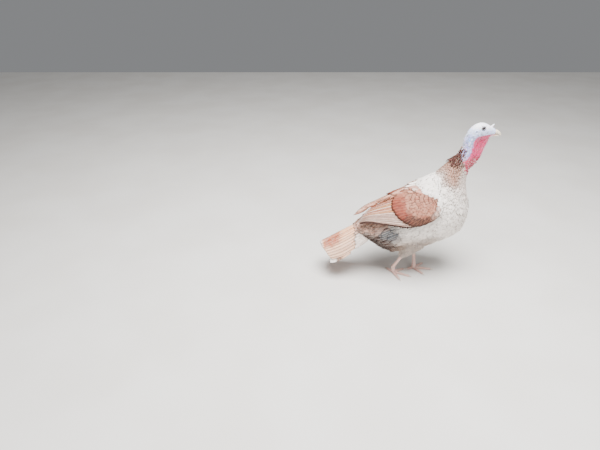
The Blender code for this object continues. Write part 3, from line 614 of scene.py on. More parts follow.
def horn_material(name, roughness, light, dark, grain_mm, stretch):
    """Keratin sheath: close-grained and a little glossy, with growth lines along one axis.

    It is multiplied by the piece's own tone, which is 1 where the horn keeps its plain colour and lower where
    it is tinted or painted with shade.
    """
    material, tree, shader = blank_material(name, roughness, Subsurface_Weight=0.05, Subsurface_Scale=0.001)
    place = add(tree, "ShaderNodeTexCoord", (), "Object")
    place = add(tree, "ShaderNodeMapping", {"Vector": place, "Scale": stretch})
    grain = add(tree, "ShaderNodeTexNoise", {"Vector": place, "Scale": 1000 / grain_mm, "Detail": 4.0})
    tone = add(tree, "ShaderNodeAttribute", (), "Color", attribute_name="tone")
    base = add(tree, MIX, {0: add(tree, RANGE, (grain, 0.30, 0.72), **EASED), 6: (*linear(dark), 1),
                           7: (*linear(light), 1)}, 2, data_type="RGBA")
    base = add(tree, MIX, {0: 1.0, 6: base, 7: tone}, 2, data_type="RGBA", blend_type="MULTIPLY")
    tree.links.new(base, shader.inputs["Base Color"])
    bump = add(tree, "ShaderNodeBump", {"Height": grain, "Strength": 0.3, "Distance": 0.0003})
    tree.links.new(bump, shader.inputs["Normal"])
    return material


def eye_material():
    """Wet cornea over a dark brown iris and a black pupil, so it gives one small sharp glint."""
    material, tree, shader = blank_material("moist_eye", 0.10, Coat_Weight=0.3, Coat_Roughness=0.02)
    ring = add(tree, "ShaderNodeAttribute", (), "Fac", attribute_name="tone")
    base = (0.002, 0.002, 0.003, 1)
    for start, end, over in ((0.30, 0.36, "#2c1b16"), (0.50, 0.60, "#0e0908")):
        share = add(tree, RANGE, (ring, start, end), **EASED)
        base = add(tree, MIX, {0: share, 6: base, 7: (*linear(over), 1)}, 2, data_type="RGBA")
    tree.links.new(base, shader.inputs["Base Color"])
    return material


def floor_material():
    """Matt painted board: an even pale ground with hardly any grain."""
    material, tree, shader = blank_material("painted_board", 0.85)
    place = add(tree, "ShaderNodeTexCoord", (), "Object")
    cloud = add(tree, "ShaderNodeTexNoise", {"Vector": place, "Scale": 3.0, "Detail": 2.0})
    base = add(tree, MIX, {0: add(tree, RANGE, (cloud, 0.3, 0.7), **EASED), 6: (*linear("#dedad4"), 1),
                           7: (*linear("#e4e1dc"), 1)}, 2, data_type="RGBA")
    tree.links.new(base, shader.inputs["Base Color"])
    return material


# The coat: one Geometry Nodes tree lays a pattern on every root

# How wide each vane's patch of the bake map is.
BAKE_PATCH = 0.003
LAYING_SOCKETS = (
    ("Roots", "NodeSocketGeometry", None),
    ("Patterns", "NodeSocketCollection", None),
    ("Kinds", "NodeSocketInt", 1),
    ("Length", "NodeSocketFloat", 1.0),
    ("Width", "NodeSocketFloat", 1.0),
    ("Thickness", "NodeSocketFloat", 1.0),
    ("Stray", "NodeSocketFloat", 0.1),
    ("Patch", "NodeSocketFloat", BAKE_PATCH),
    ("Seed", "NodeSocketInt", 1),
    ("Finish", "NodeSocketMaterial", None),
)


def laying_tree():
    """Lay patterns on roots by their onward, outward and size, and give each its bake patch."""
    tree = bpy.data.node_groups.new("lay_on_roots", "GeometryNodeTree")
    sockets = {}
    for title, kind, value in LAYING_SOCKETS:
        socket = tree.interface.new_socket(name=title, in_out="INPUT", socket_type=kind)
        if value is not None:
            socket.default_value = value
        sockets[title] = socket.identifier
    tree.interface.new_socket(name="Coat", in_out="OUTPUT", socket_type="NodeSocketGeometry")
    given = add(tree, "NodeGroupInput", (), None)
    held = {key: add(tree, "GeometryNodeInputNamedAttribute", {"Name": key}, data_type="FLOAT_VECTOR")
            for key in ("onward", "outward", "size", "root_place", "vane")}

    turn = add(tree, "FunctionNodeAxesToRotation", (held["outward"], held["onward"]), primary_axis="Z",
               secondary_axis="X")
    far = add(tree, "ShaderNodeVectorMath", {0: (0.6, 0.5, 1.0), "Scale": given["Stray"]}, operation="SCALE")
    near = add(tree, "ShaderNodeVectorMath", {0: far, "Scale": -1.0}, operation="SCALE")
    astray = add(tree, "FunctionNodeRandomValue", {0: near, 1: far, "Seed": given["Seed"]},
                 data_type="FLOAT_VECTOR")
    turn = add(tree, "FunctionNodeRotateRotation", (turn, astray), rotation_space="LOCAL")
    span = add(tree, "ShaderNodeVectorMath", {0: (1.2, 1.0, 1.6), "Scale": given["Stray"]}, operation="SCALE")
    small = add(tree, "ShaderNodeVectorMath", ((1.0, 1.0, 1.0), span), operation="SUBTRACT")
    large = add(tree, "ShaderNodeVectorMath", ((1.0, 1.0, 1.0), span), operation="ADD")
    uneven = add(tree, "FunctionNodeRandomValue",
                 {0: small, 1: large, "Seed": add(tree, MATH, (given["Seed"], 7.0), operation="ADD")},
                 data_type="FLOAT_VECTOR")
    shape = add(tree, "ShaderNodeCombineXYZ", (given["Length"], given["Width"], given["Thickness"]))
    for factor in (uneven, held["size"]):
        shape = add(tree, "ShaderNodeVectorMath", (shape, factor), operation="MULTIPLY")
    last = add(tree, MATH, (given["Kinds"], 1.0), operation="SUBTRACT")
    pick = add(tree, "FunctionNodeRandomValue",
               {4: 0, 5: last, "Seed": add(tree, MATH, (given["Seed"], 3.0), operation="ADD")}, 2,
               data_type="INT")
    patterns = add(tree, "GeometryNodeCollectionInfo", {"Collection": given["Patterns"],
                                                        "Separate Children": True, "Reset Children": True})
    laid = add(tree, "GeometryNodeInstanceOnPoints",
               {"Points": given["Roots"], "Instance": patterns, "Pick Instance": True, "Instance Index": pick,
                "Rotation": turn, "Scale": shape})
    coat = add(tree, "GeometryNodeRealizeInstances", {"Geometry": laid})
    spread = add(tree, "ShaderNodeVectorMath", (held["vane"], (0.5, 0.5, 0.0)), operation="SUBTRACT")
    spread = add(tree, "ShaderNodeVectorMath", {0: spread, "Scale": given["Patch"]}, operation="SCALE")
    patch = add(tree, "ShaderNodeVectorMath", (spread, held["root_place"]))
    coat = add(tree, "GeometryNodeStoreNamedAttribute", {"Geometry": coat, "Name": "OFBake", "Value": patch},
               data_type="FLOAT2", domain="CORNER")
    for name in ("onward", "outward", "size", "root_place"):
        coat = add(tree, "GeometryNodeRemoveAttribute", {"Geometry": coat, "Name": name})
    coat = add(tree, "GeometryNodeSetMaterial", {"Geometry": coat, "Material": given["Finish"]})
    add(tree, "NodeGroupOutput", (coat,), None)
    return tree, sockets


def pattern_of(name, points, faces, vane):
    """A small closed shape for the tree to repeat, with the place on its vane as a map."""
    mesh = bpy.data.meshes.new(name)
    mesh.from_pydata(points.tolist(), [], faces.tolist())
    layer = mesh.uv_layers.new(name="vane")
    layer.uv.foreach_set("vector", vane[faces.ravel()].astype(np.float32).ravel())
    mesh.shade_smooth()
    return bpy.data.objects.new(name, mesh)


def vane_grid(rows, columns, widths, curl, bow, split, draw):
    """The middle surface of a vane 1 long and 1 wide; curl arches it along, bow across."""
    along = np.linspace(0, 1, rows)
    s, c = np.meshgrid(along, np.linspace(-1, 1, columns), indexing="ij")
    width = np.interp(along, np.linspace(0, 1, len(widths)), widths)[:, None]
    ragged = draw.uniform(-split, split, s.shape)
    x = s - 0.12 * c ** 2 * s + ragged * (s > 0.75)
    y = c * width / 2 * (1 + ragged * (np.abs(c) > 0.6))
    z = curl * (s - s ** 2) * 4 - bow * (c * width) ** 2
    return np.stack([x, y, z], -1)


def vane_patterns(title, kinds, rows=6, columns=5, widths=(0.30, 0.80, 1.0, 0.95, 0.34), curl=0.05,
                  bow=0.10, split=0.05, thick=0.05, seed=1):
    """A collection of like vanes that differ a little."""
    draw = np.random.default_rng(seed)
    group = bpy.data.collections.new(title)
    for k in range(kinds):
        grid = vane_grid(rows, columns, widths, curl * draw.uniform(0.7, 1.3), bow, split, draw)
        shape = lens(grid, np.broadcast_to((0.0, 0, 1), grid.shape), thick)
        group.objects.link(pattern_of(f"{title}_{k}", *shape))
    return group


def fluff_patterns(title, kinds, strands, seed):
    """Loose downy tufts: a few narrow curled strands from one root."""
    draw = np.random.default_rng(seed)
    group = bpy.data.collections.new(title)
    for k in range(kinds):
        points, faces, vanes = [], [], []
        start = 0
        for strand in range(strands):
            grid = vane_grid(5, 3, (0.16, 0.26, 0.22, 0.05), draw.uniform(-0.05, 0.14), 0.2, 0.03, draw)
            fan = (strand / max(strands - 1, 1) - 0.5) * 1.15 + draw.uniform(-0.1, 0.1)
            grid[..., 0] *= draw.uniform(0.75, 1.0)
            grid[..., 1] += grid[..., 0] * math.tan(fan * 0.62) + 0.12 * fan * grid[..., 0] ** 2
            grid[..., 2] += draw.uniform(0.0, 0.10) * grid[..., 0]
            spots, cells, vane = lens(grid, np.broadcast_to((0.0, 0, 1), grid.shape), 0.05)
            points.append(spots)
            faces.append(cells + start)
            vanes.append(vane)
            start += len(spots)
        group.objects.link(pattern_of(f"{title}_{k}", np.vstack(points), np.vstack(faces), np.vstack(vanes)))
    return group


class Roots:
    """Where a coat piece's vanes stand, how they lie, how large they are, and their values."""

    KEYS = ("points", "onward", "outward", "size", "place")

    def __init__(self, points, onward, outward, tilt, size, place, values):
        leaning = unit(onward + outward * tilt)
        self.points = points
        self.onward = leaning
        self.outward = unit(outward - leaning * (outward * leaning).sum(-1, keepdims=True))
        self.size = np.stack(np.broadcast_arrays(*size), -1).astype(float)
        self.place = np.clip(np.stack(np.broadcast_arrays(*place), -1), BAKE_PATCH, 1 - BAKE_PATCH)
        self.values = values

    @classmethod
    def on(cls, surface, a, b, sink, *rest):
        spots, onward, outward = lie_on(surface, a, b)
        return cls(spots - outward * np.broadcast_to(sink, a.shape)[..., None], onward, outward, *rest)

    def on_side(self, side):
        """The roots as they are for side 1, mirrored for side -1."""
        for vectors in (self.points, self.onward, self.outward):
            vectors[:, 1] *= side
        return self

    def keep(self, chosen):
        for key in self.KEYS:
            setattr(self, key, getattr(self, key)[chosen])
        self.values = {key: value[chosen] for key, value in self.values.items()}
        return self


def join_roots(*several):
    first = several[0]
    for key in Roots.KEYS:
        setattr(first, key, np.vstack([getattr(one, key) for one in several]))
    first.values = {key: np.vstack([one.values[key] for one in several]) for key in COAT_VALUES}
    return first


def lay_coat(name, roots, patterns, material, slot, stray=0.12, seed=1):
    """Run the laying tree over the roots and keep its result as a plain mesh."""
    tree, sockets = laying_tree()
    mesh = bpy.data.meshes.new(name + "_roots")
    mesh.from_pydata((roots.points + SHIFT).tolist(), [], [])
    for key, vectors in (("onward", roots.onward), ("outward", roots.outward), ("size", roots.size),
                         ("root_place", np.hstack([roots.place, np.zeros((len(roots.place), 1))]))):
        layer = mesh.attributes.new(key, "FLOAT_VECTOR", "POINT")
        layer.data.foreach_set("vector", vectors.astype(np.float32).ravel())
    for key in COAT_VALUES:
        colour_attribute(mesh, key, roots.values[key])
    work = new_object(name + "_roots", mesh)
    layer = work.modifiers.new("lay", "NODES")
    layer.node_group = tree
    for title, value in (("Patterns", patterns), ("Kinds", len(patterns.objects)), ("Length", 1.0),
                         ("Width", 1.0), ("Thickness", 1.0), ("Stray", stray), ("Patch", BAKE_PATCH),
                         ("Seed", seed), ("Finish", material)):
        layer[sockets[title]] = value
    graph = bpy.context.evaluated_depsgraph_get()
    laid = bpy.data.meshes.new_from_object(work.evaluated_get(graph), preserve_all_data_layers=True,
                                           depsgraph=graph)
    work.modifiers.remove(layer)
    bpy.data.objects.remove(work)
    bpy.data.node_groups.remove(tree)
    if not len(laid.polygons):
        raise RuntimeError(f"{name} came out empty")
    return new_piece(name, laid, material, slot)


def drop_patterns(*groups):
    for group in groups:
        for thing in list(group.objects):
            bpy.data.objects.remove(thing)
        bpy.data.collections.remove(group)


def path_run(path):
    """How far along a path each of its points is."""
    return np.append(0, np.linalg.norm(np.diff(path, axis=0), axis=1).cumsum())


def shingle(surface, start, end, rows, gap, low, high, seed):
    """Staggered root places (a, b) in rows over a surface, about a gap apart along each row."""
    draw = np.random.default_rng(seed)
    step = (end - start) / max(rows - 1, 1)
    b = np.linspace(low, high, 97)
    found = []
    for i, a in enumerate(np.linspace(start, end, rows)):
        run = path_run(surface(np.full(len(b), a), b))
        number = max(3, round(run[-1] / gap))
        share = (np.arange(number) + 0.25 + 0.5 * (i % 2) + draw.uniform(-0.2, 0.2, number)) / number
        found.append(np.stack([a + draw.uniform(-0.35, 0.35, number) * step,
                               np.interp(share % 1.0, run / run[-1], b)], -1))
    return np.vstack(found).T


def row_length(surface, a, b, step):
    """How far apart two rows a step apart are, in metres, at each place."""
    return np.linalg.norm(surface(a + step / 2, b) - surface(a - step / 2, b), axis=-1)


def coat_values(tone, rim, mark, line, edge, tint, spot):
    """The values of each vane: colours, then line, rim, tint and spot strengths in form."""
    number = len(tone)
    values = {key: four_values(np.broadcast_to(colour, (number, 3)))
              for key, colour in (("tone", tone), ("rim", rim), ("mark", mark))}
    values["form"] = np.stack([np.broadcast_to(value, number) for value in (line, edge, tint, spot)], -1)
    return values


# Settings

def colour_setting(name, description, code):
    return FloatVectorProperty(name=name, description=description, default=linear(code), size=3,
                               subtype="COLOR", min=0.0, max=1.0)


def length_setting(name, description, default, low, high):
    return FloatProperty(name=name, description=description, default=default, min=low, max=high,
                         precision=4, unit="LENGTH")


class TurkeySizes(bpy.types.PropertyGroup):
    skin_grain: length_setting("Skin grain", "Spacing of the points of the bare skin", 0.0010, 0.0006, 0.004)
    under_grain: length_setting("Under grain", "Spacing of the points of the skin under the coat", 0.0030,
                                0.002, 0.01)
    coat_depth: length_setting("Coat depth", "How far the skin lies under the coat's face", 0.0075, 0.002,
                               0.02)
    feather_gap: length_setting("Feather gap", "Space between roots in a row on the trunk", 0.0105, 0.005,
                                0.02)
    covert_gap: length_setting("Covert gap", "Space between roots in a row on the wing", 0.0100, 0.005, 0.02)
    quills: IntProperty(name="Wing quills", description="Number of long feathers in each wing",
                        default=14, min=10, max=28)
    tail_pairs: IntProperty(name="Tail pairs", description="Pairs of tail feathers beside the middle one",
                            default=9, min=5, max=10)


class TurkeyColours(bpy.types.PropertyGroup):
    crown: colour_setting("Crown", "Bare skin on top of the head", "#f4f2fa")
    lavender: colour_setting("Cheek", "Bare skin of the cheek", "#ccd5f4")
    blue: colour_setting("Neck blue", "Bare skin at the back of the neck", "#9d9ad6")
    bright_blue: colour_setting("Nape blue", "Brightest blue behind the jaw", "#7db4f2")
    rose: colour_setting("Dewlap", "Loose skin of the throat", "#cf2866")
    magenta: colour_setting("Throat", "Deeper skin under the jaw", "#a02e5c")
    deep_rose: colour_setting("Neck base", "Warty skin at the foot of the neck", "#9e1834")
    cream: colour_setting("Cream", "Breast and back feathers", "#f7eee6")
    white: colour_setting("White", "Feather edges", "#fffaf4")
    dusky: colour_setting("Dusky", "Flecks on pale feathers", "#8a7668")
    beige: colour_setting("Mantle", "Feathers at the foot of the neck", "#9c6f5a")
    # Umber also paints shade: under the vent, under the wings and at the loose tail feathers.
    umber: colour_setting("Umber", "Dark marks", "#3e221a")
    salmon: colour_setting("Salmon", "Wing coverts and cape", "#9a5741")
    salmon_edge: colour_setting("Covert edge", "Edges of wing coverts", "#eec3a6")
    chestnut: colour_setting("Chestnut", "Greater coverts", "#7e2911")
    # Dark chestnut is also the painted shade under the wings' lower edges.
    dark_chestnut: colour_setting("Dark chestnut", "Lower greater coverts and wing lining", "#32110a")
    ochre: colour_setting("Ochre", "Warm streaks of the wing quills", "#cf8338")
    mauve: colour_setting("Mauve", "Upper wing quills and cape", "#cd8a76")
    stone: colour_setting("Stone", "Lower wing quills", "#ad9284")
    quill_dark: colour_setting("Quill brown", "Dark streaks of the wing quills", "#87462b")
    slate: colour_setting("Slate", "Flank feathers", "#55575b")
    belly: colour_setting("Belly", "Belly fluff", "#937058")
    rump: colour_setting("Rump", "Rump and tail coverts", "#c48c72")
    tan: colour_setting("Tail tan", "Patch near the end of the tail", "#b65a38")
    peach: colour_setting("Peach", "Tail feathers", "#fbbb8a")
    leg: colour_setting("Leg", "Shanks and toes", "#e2bcb0")


def shade(name):
    return np.array(getattr(bpy.context.scene.turkey_colours, name))


def size_of(name):
    return getattr(bpy.context.scene.turkey_sizes, name)


# Bare skin

# Linear colour of the painted shade in a ring round the eye.
EYE_RING_PAINTED_SHADE = (0.05, 0.045, 0.06)


def feather_line(angle):
    """Where along the neck the feathers start: higher at the back than at the throat."""
    return 2.75 + 1.45 * (1 - np.cos(angle)) / 2


def dewlap_rings(steps=44, half=14):
    """Sections of the dewlap's upright folds, from the chin down."""
    rings = []
    f = np.linspace(0, 1, half)
    closing = np.sqrt(np.clip(1 - np.clip((f - 0.8) / 0.2, 0, 1) ** 2, 0.004, 1))
    for t in np.linspace(0, 1, steps):
        root_x, root_z, edge_x, edge_z, thick, thin = curve_at(DEWLAP, t * (len(DEWLAP) - 1))
        width = (thick + (thin - thick) * f) * (1 + 0.20 * np.cos(5 * np.pi * f + 3 * t))
        width = width * min(1.0, 0.55 + 3 * min(t, 1 - t)) * closing
        side = np.stack([root_x + (edge_x - root_x) * f, width, root_z + (edge_z - root_z) * f], -1)
        rings.append(np.vstack([side, mirror(side, -1)[::-1]]))
    return rings


def head_clay():
    """Head, bare neck, dewlap, snood, lids, brows, cheeks and ear rims."""
    clay = Clay()
    angle = np.linspace(0, 2 * np.pi, 64, endpoint=False)[None]
    t = np.linspace(0, 4.9, 70)[:, None]
    tucked = -0.0045 * smooth(t - feather_line(angle), -0.1, 0.7)
    clay.loft(body_surface(t, angle, tucked))
    rows = curve_at(HEAD, np.linspace(0, len(HEAD) - 1, 60))[:, None]
    clay.loft(oval(rows, angle))
    clay.loft(dewlap_rings())
    clay.tube(SNOOD_PATH, np.array([SNOOD_RADII, SNOOD_RADII]).T, (0, 1, 0))
    for k in range(6):
        edge = curve_at(DEWLAP, (0.56 + 0.068 * k) * (len(DEWLAP) - 1))
        clay.ball((edge[2] - 0.0030, 0.0022 * (-1) ** k, edge[3]), (0.0040, 0.0034, 0.0046))
    for side in (1, -1):
        eye = np.array((EYE_CENTRE[0], 0.0174 * side, EYE_CENTRE[2]))
        forward = unit(np.array([1.0, -0.20 * side, 0.10]))
        clay.hoop(eye, forward, (0, 0.10 * side, 1), (0.0066, 0.0054), 0.0013)
        clay.hoop(eye - (0, 0.0012 * side, 0), forward, (0, 0.10 * side, 1), (0.0090, 0.0078), 0.0011)
        clay.ball(eye + (0, -0.0042 * side, 0.0082), (0.0090, 0.0034, 0.0018))
        clay.ball((0.634, 0.0140 * side, 0.5885), (0.013, 0.0052, 0.0062))
        clay.hoop((EAR_CENTRE[0], (EAR_CENTRE[1] - 0.0012) * side, EAR_CENTRE[2]),
                  unit(np.array([1.0, 0.12 * side, 0])), (0, 0, 1), (0.0042, 0.0050), 0.0012)
    return clay


def sculpt_head(points, normals):
    """Eye openings, ear cups, mouth line, creases of the neck and warts at its foot."""
    x, y, z = points.T
    side = np.where(y > 0, 1.0, -1.0)
    moved = points.copy()
    creases = rough(points * (1, 1, 3.2), 0.013, 3)
    low = smooth(-z, -0.600, -0.560)
    moved += normals * (creases * (0.0002 + 0.0009 * low))[:, None]
    warts = np.clip(rough(points + 0.37, 0.0062, 1), 0, 1)
    foot = smooth(-z, -0.535, -0.480) * smooth(x, 0.560, 0.590)
    moved += normals * (warts * (0.0003 + 0.0052 * foot))[:, None]
    moved += normals * (warts * smooth(z, 0.600, 0.612) * 0.0008)[:, None]

    mouth = 0.5872 - 0.0016 * smooth(-x, -0.668, -0.656)
    groove = np.exp(-((z - mouth) / 0.0010) ** 2) * smooth(x, 0.655, 0.662) * (np.abs(y) > 0.004)
    moved -= normals * (groove * 0.0016)[:, None]

    ear = np.hypot(x - EAR_CENTRE[0], (z - EAR_CENTRE[2]) * 0.85) / EAR_RADIUS
    cup = np.clip(1 - (ear / 0.85) ** 2, 0, 1) * (np.abs(y) > 0.010)
    moved[:, 1] -= side * cup * 0.0040

    centre = np.stack([np.ones_like(x), side, np.ones_like(x)], -1) * EYE_CENTRE
    arm = moved - centre
    reach = np.linalg.norm(arm, axis=1)
    opening = np.hypot(arm[:, 0] / 0.0063, (arm[:, 2] - 0.08 * arm[:, 0]) / 0.0052)
    near = (arm[:, 1] * side > 0.0015) & (reach < 0.0125)
    rise = EYE_RADIUS + 0.0006 + 0.0006 * smooth(opening, 1.0, 1.2) * smooth(-opening, -2.0, -1.5)
    wanted = np.where(near & (opening >= 1.0) & (opening < 1.7), np.maximum(reach, rise), reach)
    wanted = np.where(near & (opening < 1.0), EYE_RADIUS - 0.0016, wanted)
    return centre + arm * (wanted / np.maximum(reach, 1e-9))[:, None]


def skin_tone(points, normals):
    """Colours of the bare skin, with the strength of its freckles as a fourth value."""
    x, y, z = points.T
    waver = rough(points, 0.010, 2)
    pink_from = np.interp(z, (0.490, 0.497, 0.5156, 0.534, 0.560, 0.5816, 0.592),
                          (0.570, 0.5936, 0.604, 0.608, 0.6094, 0.619, 0.668))
    pink = smooth(x + waver * 0.005 - pink_from, -0.004, 0.004) * smooth(-z, -0.592, -0.586)
    crown, rose = shade("crown"), shade("rose")
    bright = np.exp(-((x - 0.600) ** 2 + (z - 0.566) ** 2) / 0.011 ** 2)
    magenta = np.exp(-((x - 0.628) ** 2 + (z - 0.577) ** 2) / 0.010 ** 2) * pink
    front = np.interp(z, [row[3] for row in DEWLAP[::-1]], [row[2] for row in DEWLAP[::-1]])
    rim = smooth(x - front, -0.0075, -0.0030) * smooth(z, 0.500, 0.520) * pink
    streak = smooth(rough(points * (2.0, 1, 0.45), 0.007, 2), 0.10, 0.45)
    foot = smooth(-z - waver * 0.008, -0.515, -0.490)
    speck = smooth(rough(points + 0.2, 0.0050, 2), 0.12, 0.42) * foot
    hind = smooth(rough(points * (1.5, 1.5, 0.4) + 0.6, 0.006, 2), 0.05, 0.40)
    hind = hind * smooth(-z, -0.585, -0.570) * (1 - pink)
    eye = np.hypot(x - EYE_CENTRE[0], z - EYE_CENTRE[2])
    tone = np.broadcast_to(shade("lavender"), (len(x), 3))
    for over, weight in (
            (crown, smooth(z, 0.602, 0.616)),
            (shade("blue"), smooth(-z - waver * 0.006, -0.592, -0.574)),
            (shade("bright_blue"), bright * 0.9),
            # Painted highlight: paler where the neck's skin faces backwards.
            (crown, smooth(-normals[:, 0], 0.75, 0.95) * smooth(-z, -0.600, -0.585) * 0.55),
            (rose, pink),
            (shade("magenta"), magenta * 0.9),
            (blend(rose, crown, 0.62), rim * 0.8),
            (blend(rose, crown, 0.5), streak * pink * 0.34 * smooth(z, 0.50, 0.53)),
            (shade("deep_rose"), foot * 0.85),
            (shade("white"), speck * 0.35),
            (crown, hind * 0.55),
            # Painted shade in a ring round the eye, on the lids.
            (EYE_RING_PAINTED_SHADE, smooth(-eye, -0.0094, -0.0074) * (np.abs(y) > 0.010) * 0.85)):
        tone = blend(tone, over, weight)
    return four_values(tone, smooth(-z, -0.606, -0.590) * (1 - pink) * 0.85)


class TURKEY_OT_head(bpy.types.Operator):
    """Bare skin of the head, neck, dewlap and snood in one piece"""
    bl_idname = "turkey.head"
    bl_label = "Head and dewlap"

    def execute(self, context):
        mesh = head_clay().melt(size_of("skin_grain"), 3)
        for reach in (0.014, 0.011):
            refine(mesh, lambda middles, reach=reach: np.linalg.norm(
                (middles - SHIFT) * (1, 0, 1) + np.abs(middles) * (0, 1, 0) - EYE_CENTRE, axis=1) < reach)
        moved = sculpt_head(places_of(mesh) - SHIFT, normals_of(mesh))
        put_places(mesh, moved + SHIFT)
        colour_attribute(mesh, "tone", skin_tone(moved, normals_of(mesh)))
        # Bare turkey skin is thin and moist, with fine papillae 1.2 mm apart and folds of 7 mm.
        finish = skin_material("bare_turkey_skin", 0.48, 1.2, 7.0, "#fff4f4", "#8f9bb0")
        new_piece("head_skin", mesh, finish, "white_skin", "head", "neck_upper", "dewlap", "snood")
        return {"FINISHED"}


def eyeball_mesh(name):
    """A ball with its faces put in order, because the sphere's own order changes from run to run."""
    bm = bmesh.new()
    bmesh.ops.create_uvsphere(bm, u_segments=40, v_segments=28, radius=EYE_RADIUS)
    bm.verts.index_update()
    points = [vert.co[:] for vert in bm.verts]
    faces = []
    for face in bm.faces:
        corners = [vert.index for vert in face.verts]
        first = corners.index(min(corners))
        faces.append(corners[first:] + corners[:first])
    bm.free()
    mesh = bpy.data.meshes.new(name)
    mesh.from_pydata(points, [], sorted(faces))
    return mesh


class TURKEY_OT_eyes(bpy.types.Operator):
    """Both eyeballs, with pupil and iris"""
    bl_idname = "turkey.eyes"
    bl_label = "Eyes"

    def execute(self, context):
        finish = eye_material()
        for label, side in (("left", 1), ("right", -1)):
            mesh = eyeball_mesh(f"eyeball_{label}")
            points = places_of(mesh)
            facing = unit(np.array([0.22, side, 0.06]))
            ring = np.arccos(np.clip(points @ facing / EYE_RADIUS, -1, 1)) / (np.pi / 2)
            put_places(mesh, points + mirror(np.array(EYE_CENTRE), side) + SHIFT)
            colour_attribute(mesh, "tone", np.repeat(ring[:, None], 3, axis=1))
            new_piece(f"eyeball_{label}", mesh, finish, "eye", f"eye_{label}")
        return {"FINISHED"}


def bill_half(name, table, taper, hook):
    """One half of the bill, its tip closed round, with the nostrils sunk in the upper one."""
    rows = curve_at(table, np.linspace(0, len(table) - 1, 40))
    tip = rows[-1]
    middle = (tip[[0, 1]] + tip[[2, 3]]) / 2
    rounded = []
    for share in (0.8, 0.5, 0.2):
        ahead = (1 - share) * 0.0012 * np.array((0.8, -0.6 * hook))
        rounded.append(np.concatenate([middle + (tip[[0, 1]] - middle) * share + ahead,
                                       middle + (tip[[2, 3]] - middle) * share + ahead, [tip[4] * share]]))
    rows = np.vstack([rows, rounded])[:, None]
    clay = Clay()
    clay.loft(oval(rows, np.linspace(0, 2 * np.pi, 56, endpoint=False)[None], 0.0, taper))
    mesh = clay.mesh(name)
    points = places_of(mesh) - SHIFT
    sink = np.zeros(len(points))
    if hook:
        hollow = np.hypot((points[:, 0] - 0.6895) / 0.0034, (points[:, 2] - 0.5957) / 0.0015)
        sink = np.clip(1 - hollow ** 2, 0, 1) * (np.abs(points[:, 1]) > 0.004)
        points[:, 1] -= np.sign(points[:, 1]) * sink * 0.0024
        put_places(mesh, points + SHIFT)
    # Painted shade in the sunk nostrils.
    bill_tint_and_shade = blend(np.ones((len(points), 3)), np.array((0.55, 0.42, 0.40)), sink * 0.9)
    bill_tint_and_shade = blend(bill_tint_and_shade, np.array((0.90, 0.72, 0.72)), smooth(-points[:, 0], -0.690, -0.680) * 0.8)
    # Painted shade along the line where the two halves meet.
    line = np.exp(-((points[:, 2] - np.interp(points[:, 0], (0.68, 0.70, 0.707), (0.588, 0.5838, 0.580)))
                    / 0.0010) ** 2)
    bill_tint_and_shade = blend(bill_tint_and_shade, np.array((0.62, 0.50, 0.52)), line * 0.7)
    colour_attribute(mesh, "tone", bill_tint_and_shade)
    return mesh


class TURKEY_OT_bill(bpy.types.Operator):
    """Upper and lower halves of the bill"""
    bl_idname = "turkey.bill"
    bl_label = "Bill"

    def execute(self, context):
        # Bill horn is layered keratin, worn smooth: ivory, with faint lines that run to the tip.
        finish = horn_material("ivory_bill_horn", 0.38, "#f6eddd", "#e0cfb8", 3.0, (0.3, 1.0, 1.0))
        for node, table, taper, hook in (("bill_upper", BILL_UPPER, -0.15, 1),
                                         ("bill_lower", BILL_LOWER, 0.15, 0)):
            new_piece(f"{node}_horn", bill_half(f"{node}_horn", table, taper, hook), finish, "horn", node)
        return {"FINISHED"}


# Legs

def toe_line(leg, angle, length, steps):
    """Centres and radii along a toe, with its heading."""
    heading = math.radians(leg["heading"] + angle * leg["side"])
    onward = np.array((math.cos(heading), math.sin(heading), 0))
    ankle = np.array(leg["ankle"]) * (1, leg["side"], 1)
    s = np.linspace(0, 1, steps)
    radius = TOE_RADIUS * (1 - 0.34 * s) * (1 + 0.09 * np.cos(4 * np.pi * s))
    drop = (1 - np.minimum(s / 0.42, 1)) ** 2
    path = ankle * (1, 1, 0) + onward * (length * (s * 1.06 - 0.06))[:, None]
    path[:, 2] = radius * 0.86 + (ankle[2] * 0.55 - radius * 0.86) * drop
    return path, radius, onward


def leg_clay(label):
    """Shank, foot and toes of one leg, and the lines that its scutes follow."""
    leg = LEGS[label]
    side = leg["side"]
    hock, ankle = (np.array(leg[key]) * (1, side, 1) for key in ("hock", "ankle"))
    down = unit(ankle - hock)
    clay = Clay()
    s = np.array([-0.10, 0.0, 0.12, 0.3, 0.55, 0.8, 1.0])
    swell = SHANK_RADIUS * np.array([1.30, 1.35, 1.12, 0.96, 0.92, 1.0, 1.20])
    path = hock + (ankle - hock) * s[:, None]
    fine = np.linspace(0, len(s) - 1, 40)
    path, swell = curve_at(path, fine), curve_at(swell[:, None], fine)[:, 0]
    clay.tube(path, np.stack([swell * 0.92, swell * 1.08], -1), (0, 1, 0))
    base = np.array([ankle[0] + 0.002, ankle[1], TOE_RADIUS * 0.9])
    clay.tube([ankle - down * 0.004, ankle, ankle * 0.35 + base * 0.65, base],
              [(0.0072, 0.0080), (0.0074, 0.0082), (0.0086, 0.0086), (0.0068, 0.0070)], (0, 1, 0))
    lines = [(path, swell, unit(np.array([1.0, 0, 0.1])), 1.0)]
    for _, angle, length in TOES:
        toe, radius, onward = toe_line(leg, angle, length, 30)
        clay.tube(toe, np.stack([radius * 1.08, radius * 0.98], -1), np.cross(onward, (0, 0, 1)))
        for pad in (0.42, 0.72, 0.97):
            spot = toe[round(pad * 29)]
            clay.ball(spot * (1, 1, 0) + (0, 0, 0.0034), (0.0058, 0.0056, 0.0034))
        lines.append((toe, radius, np.array([0.0, 0, 1]), 0.82))
    return clay, lines


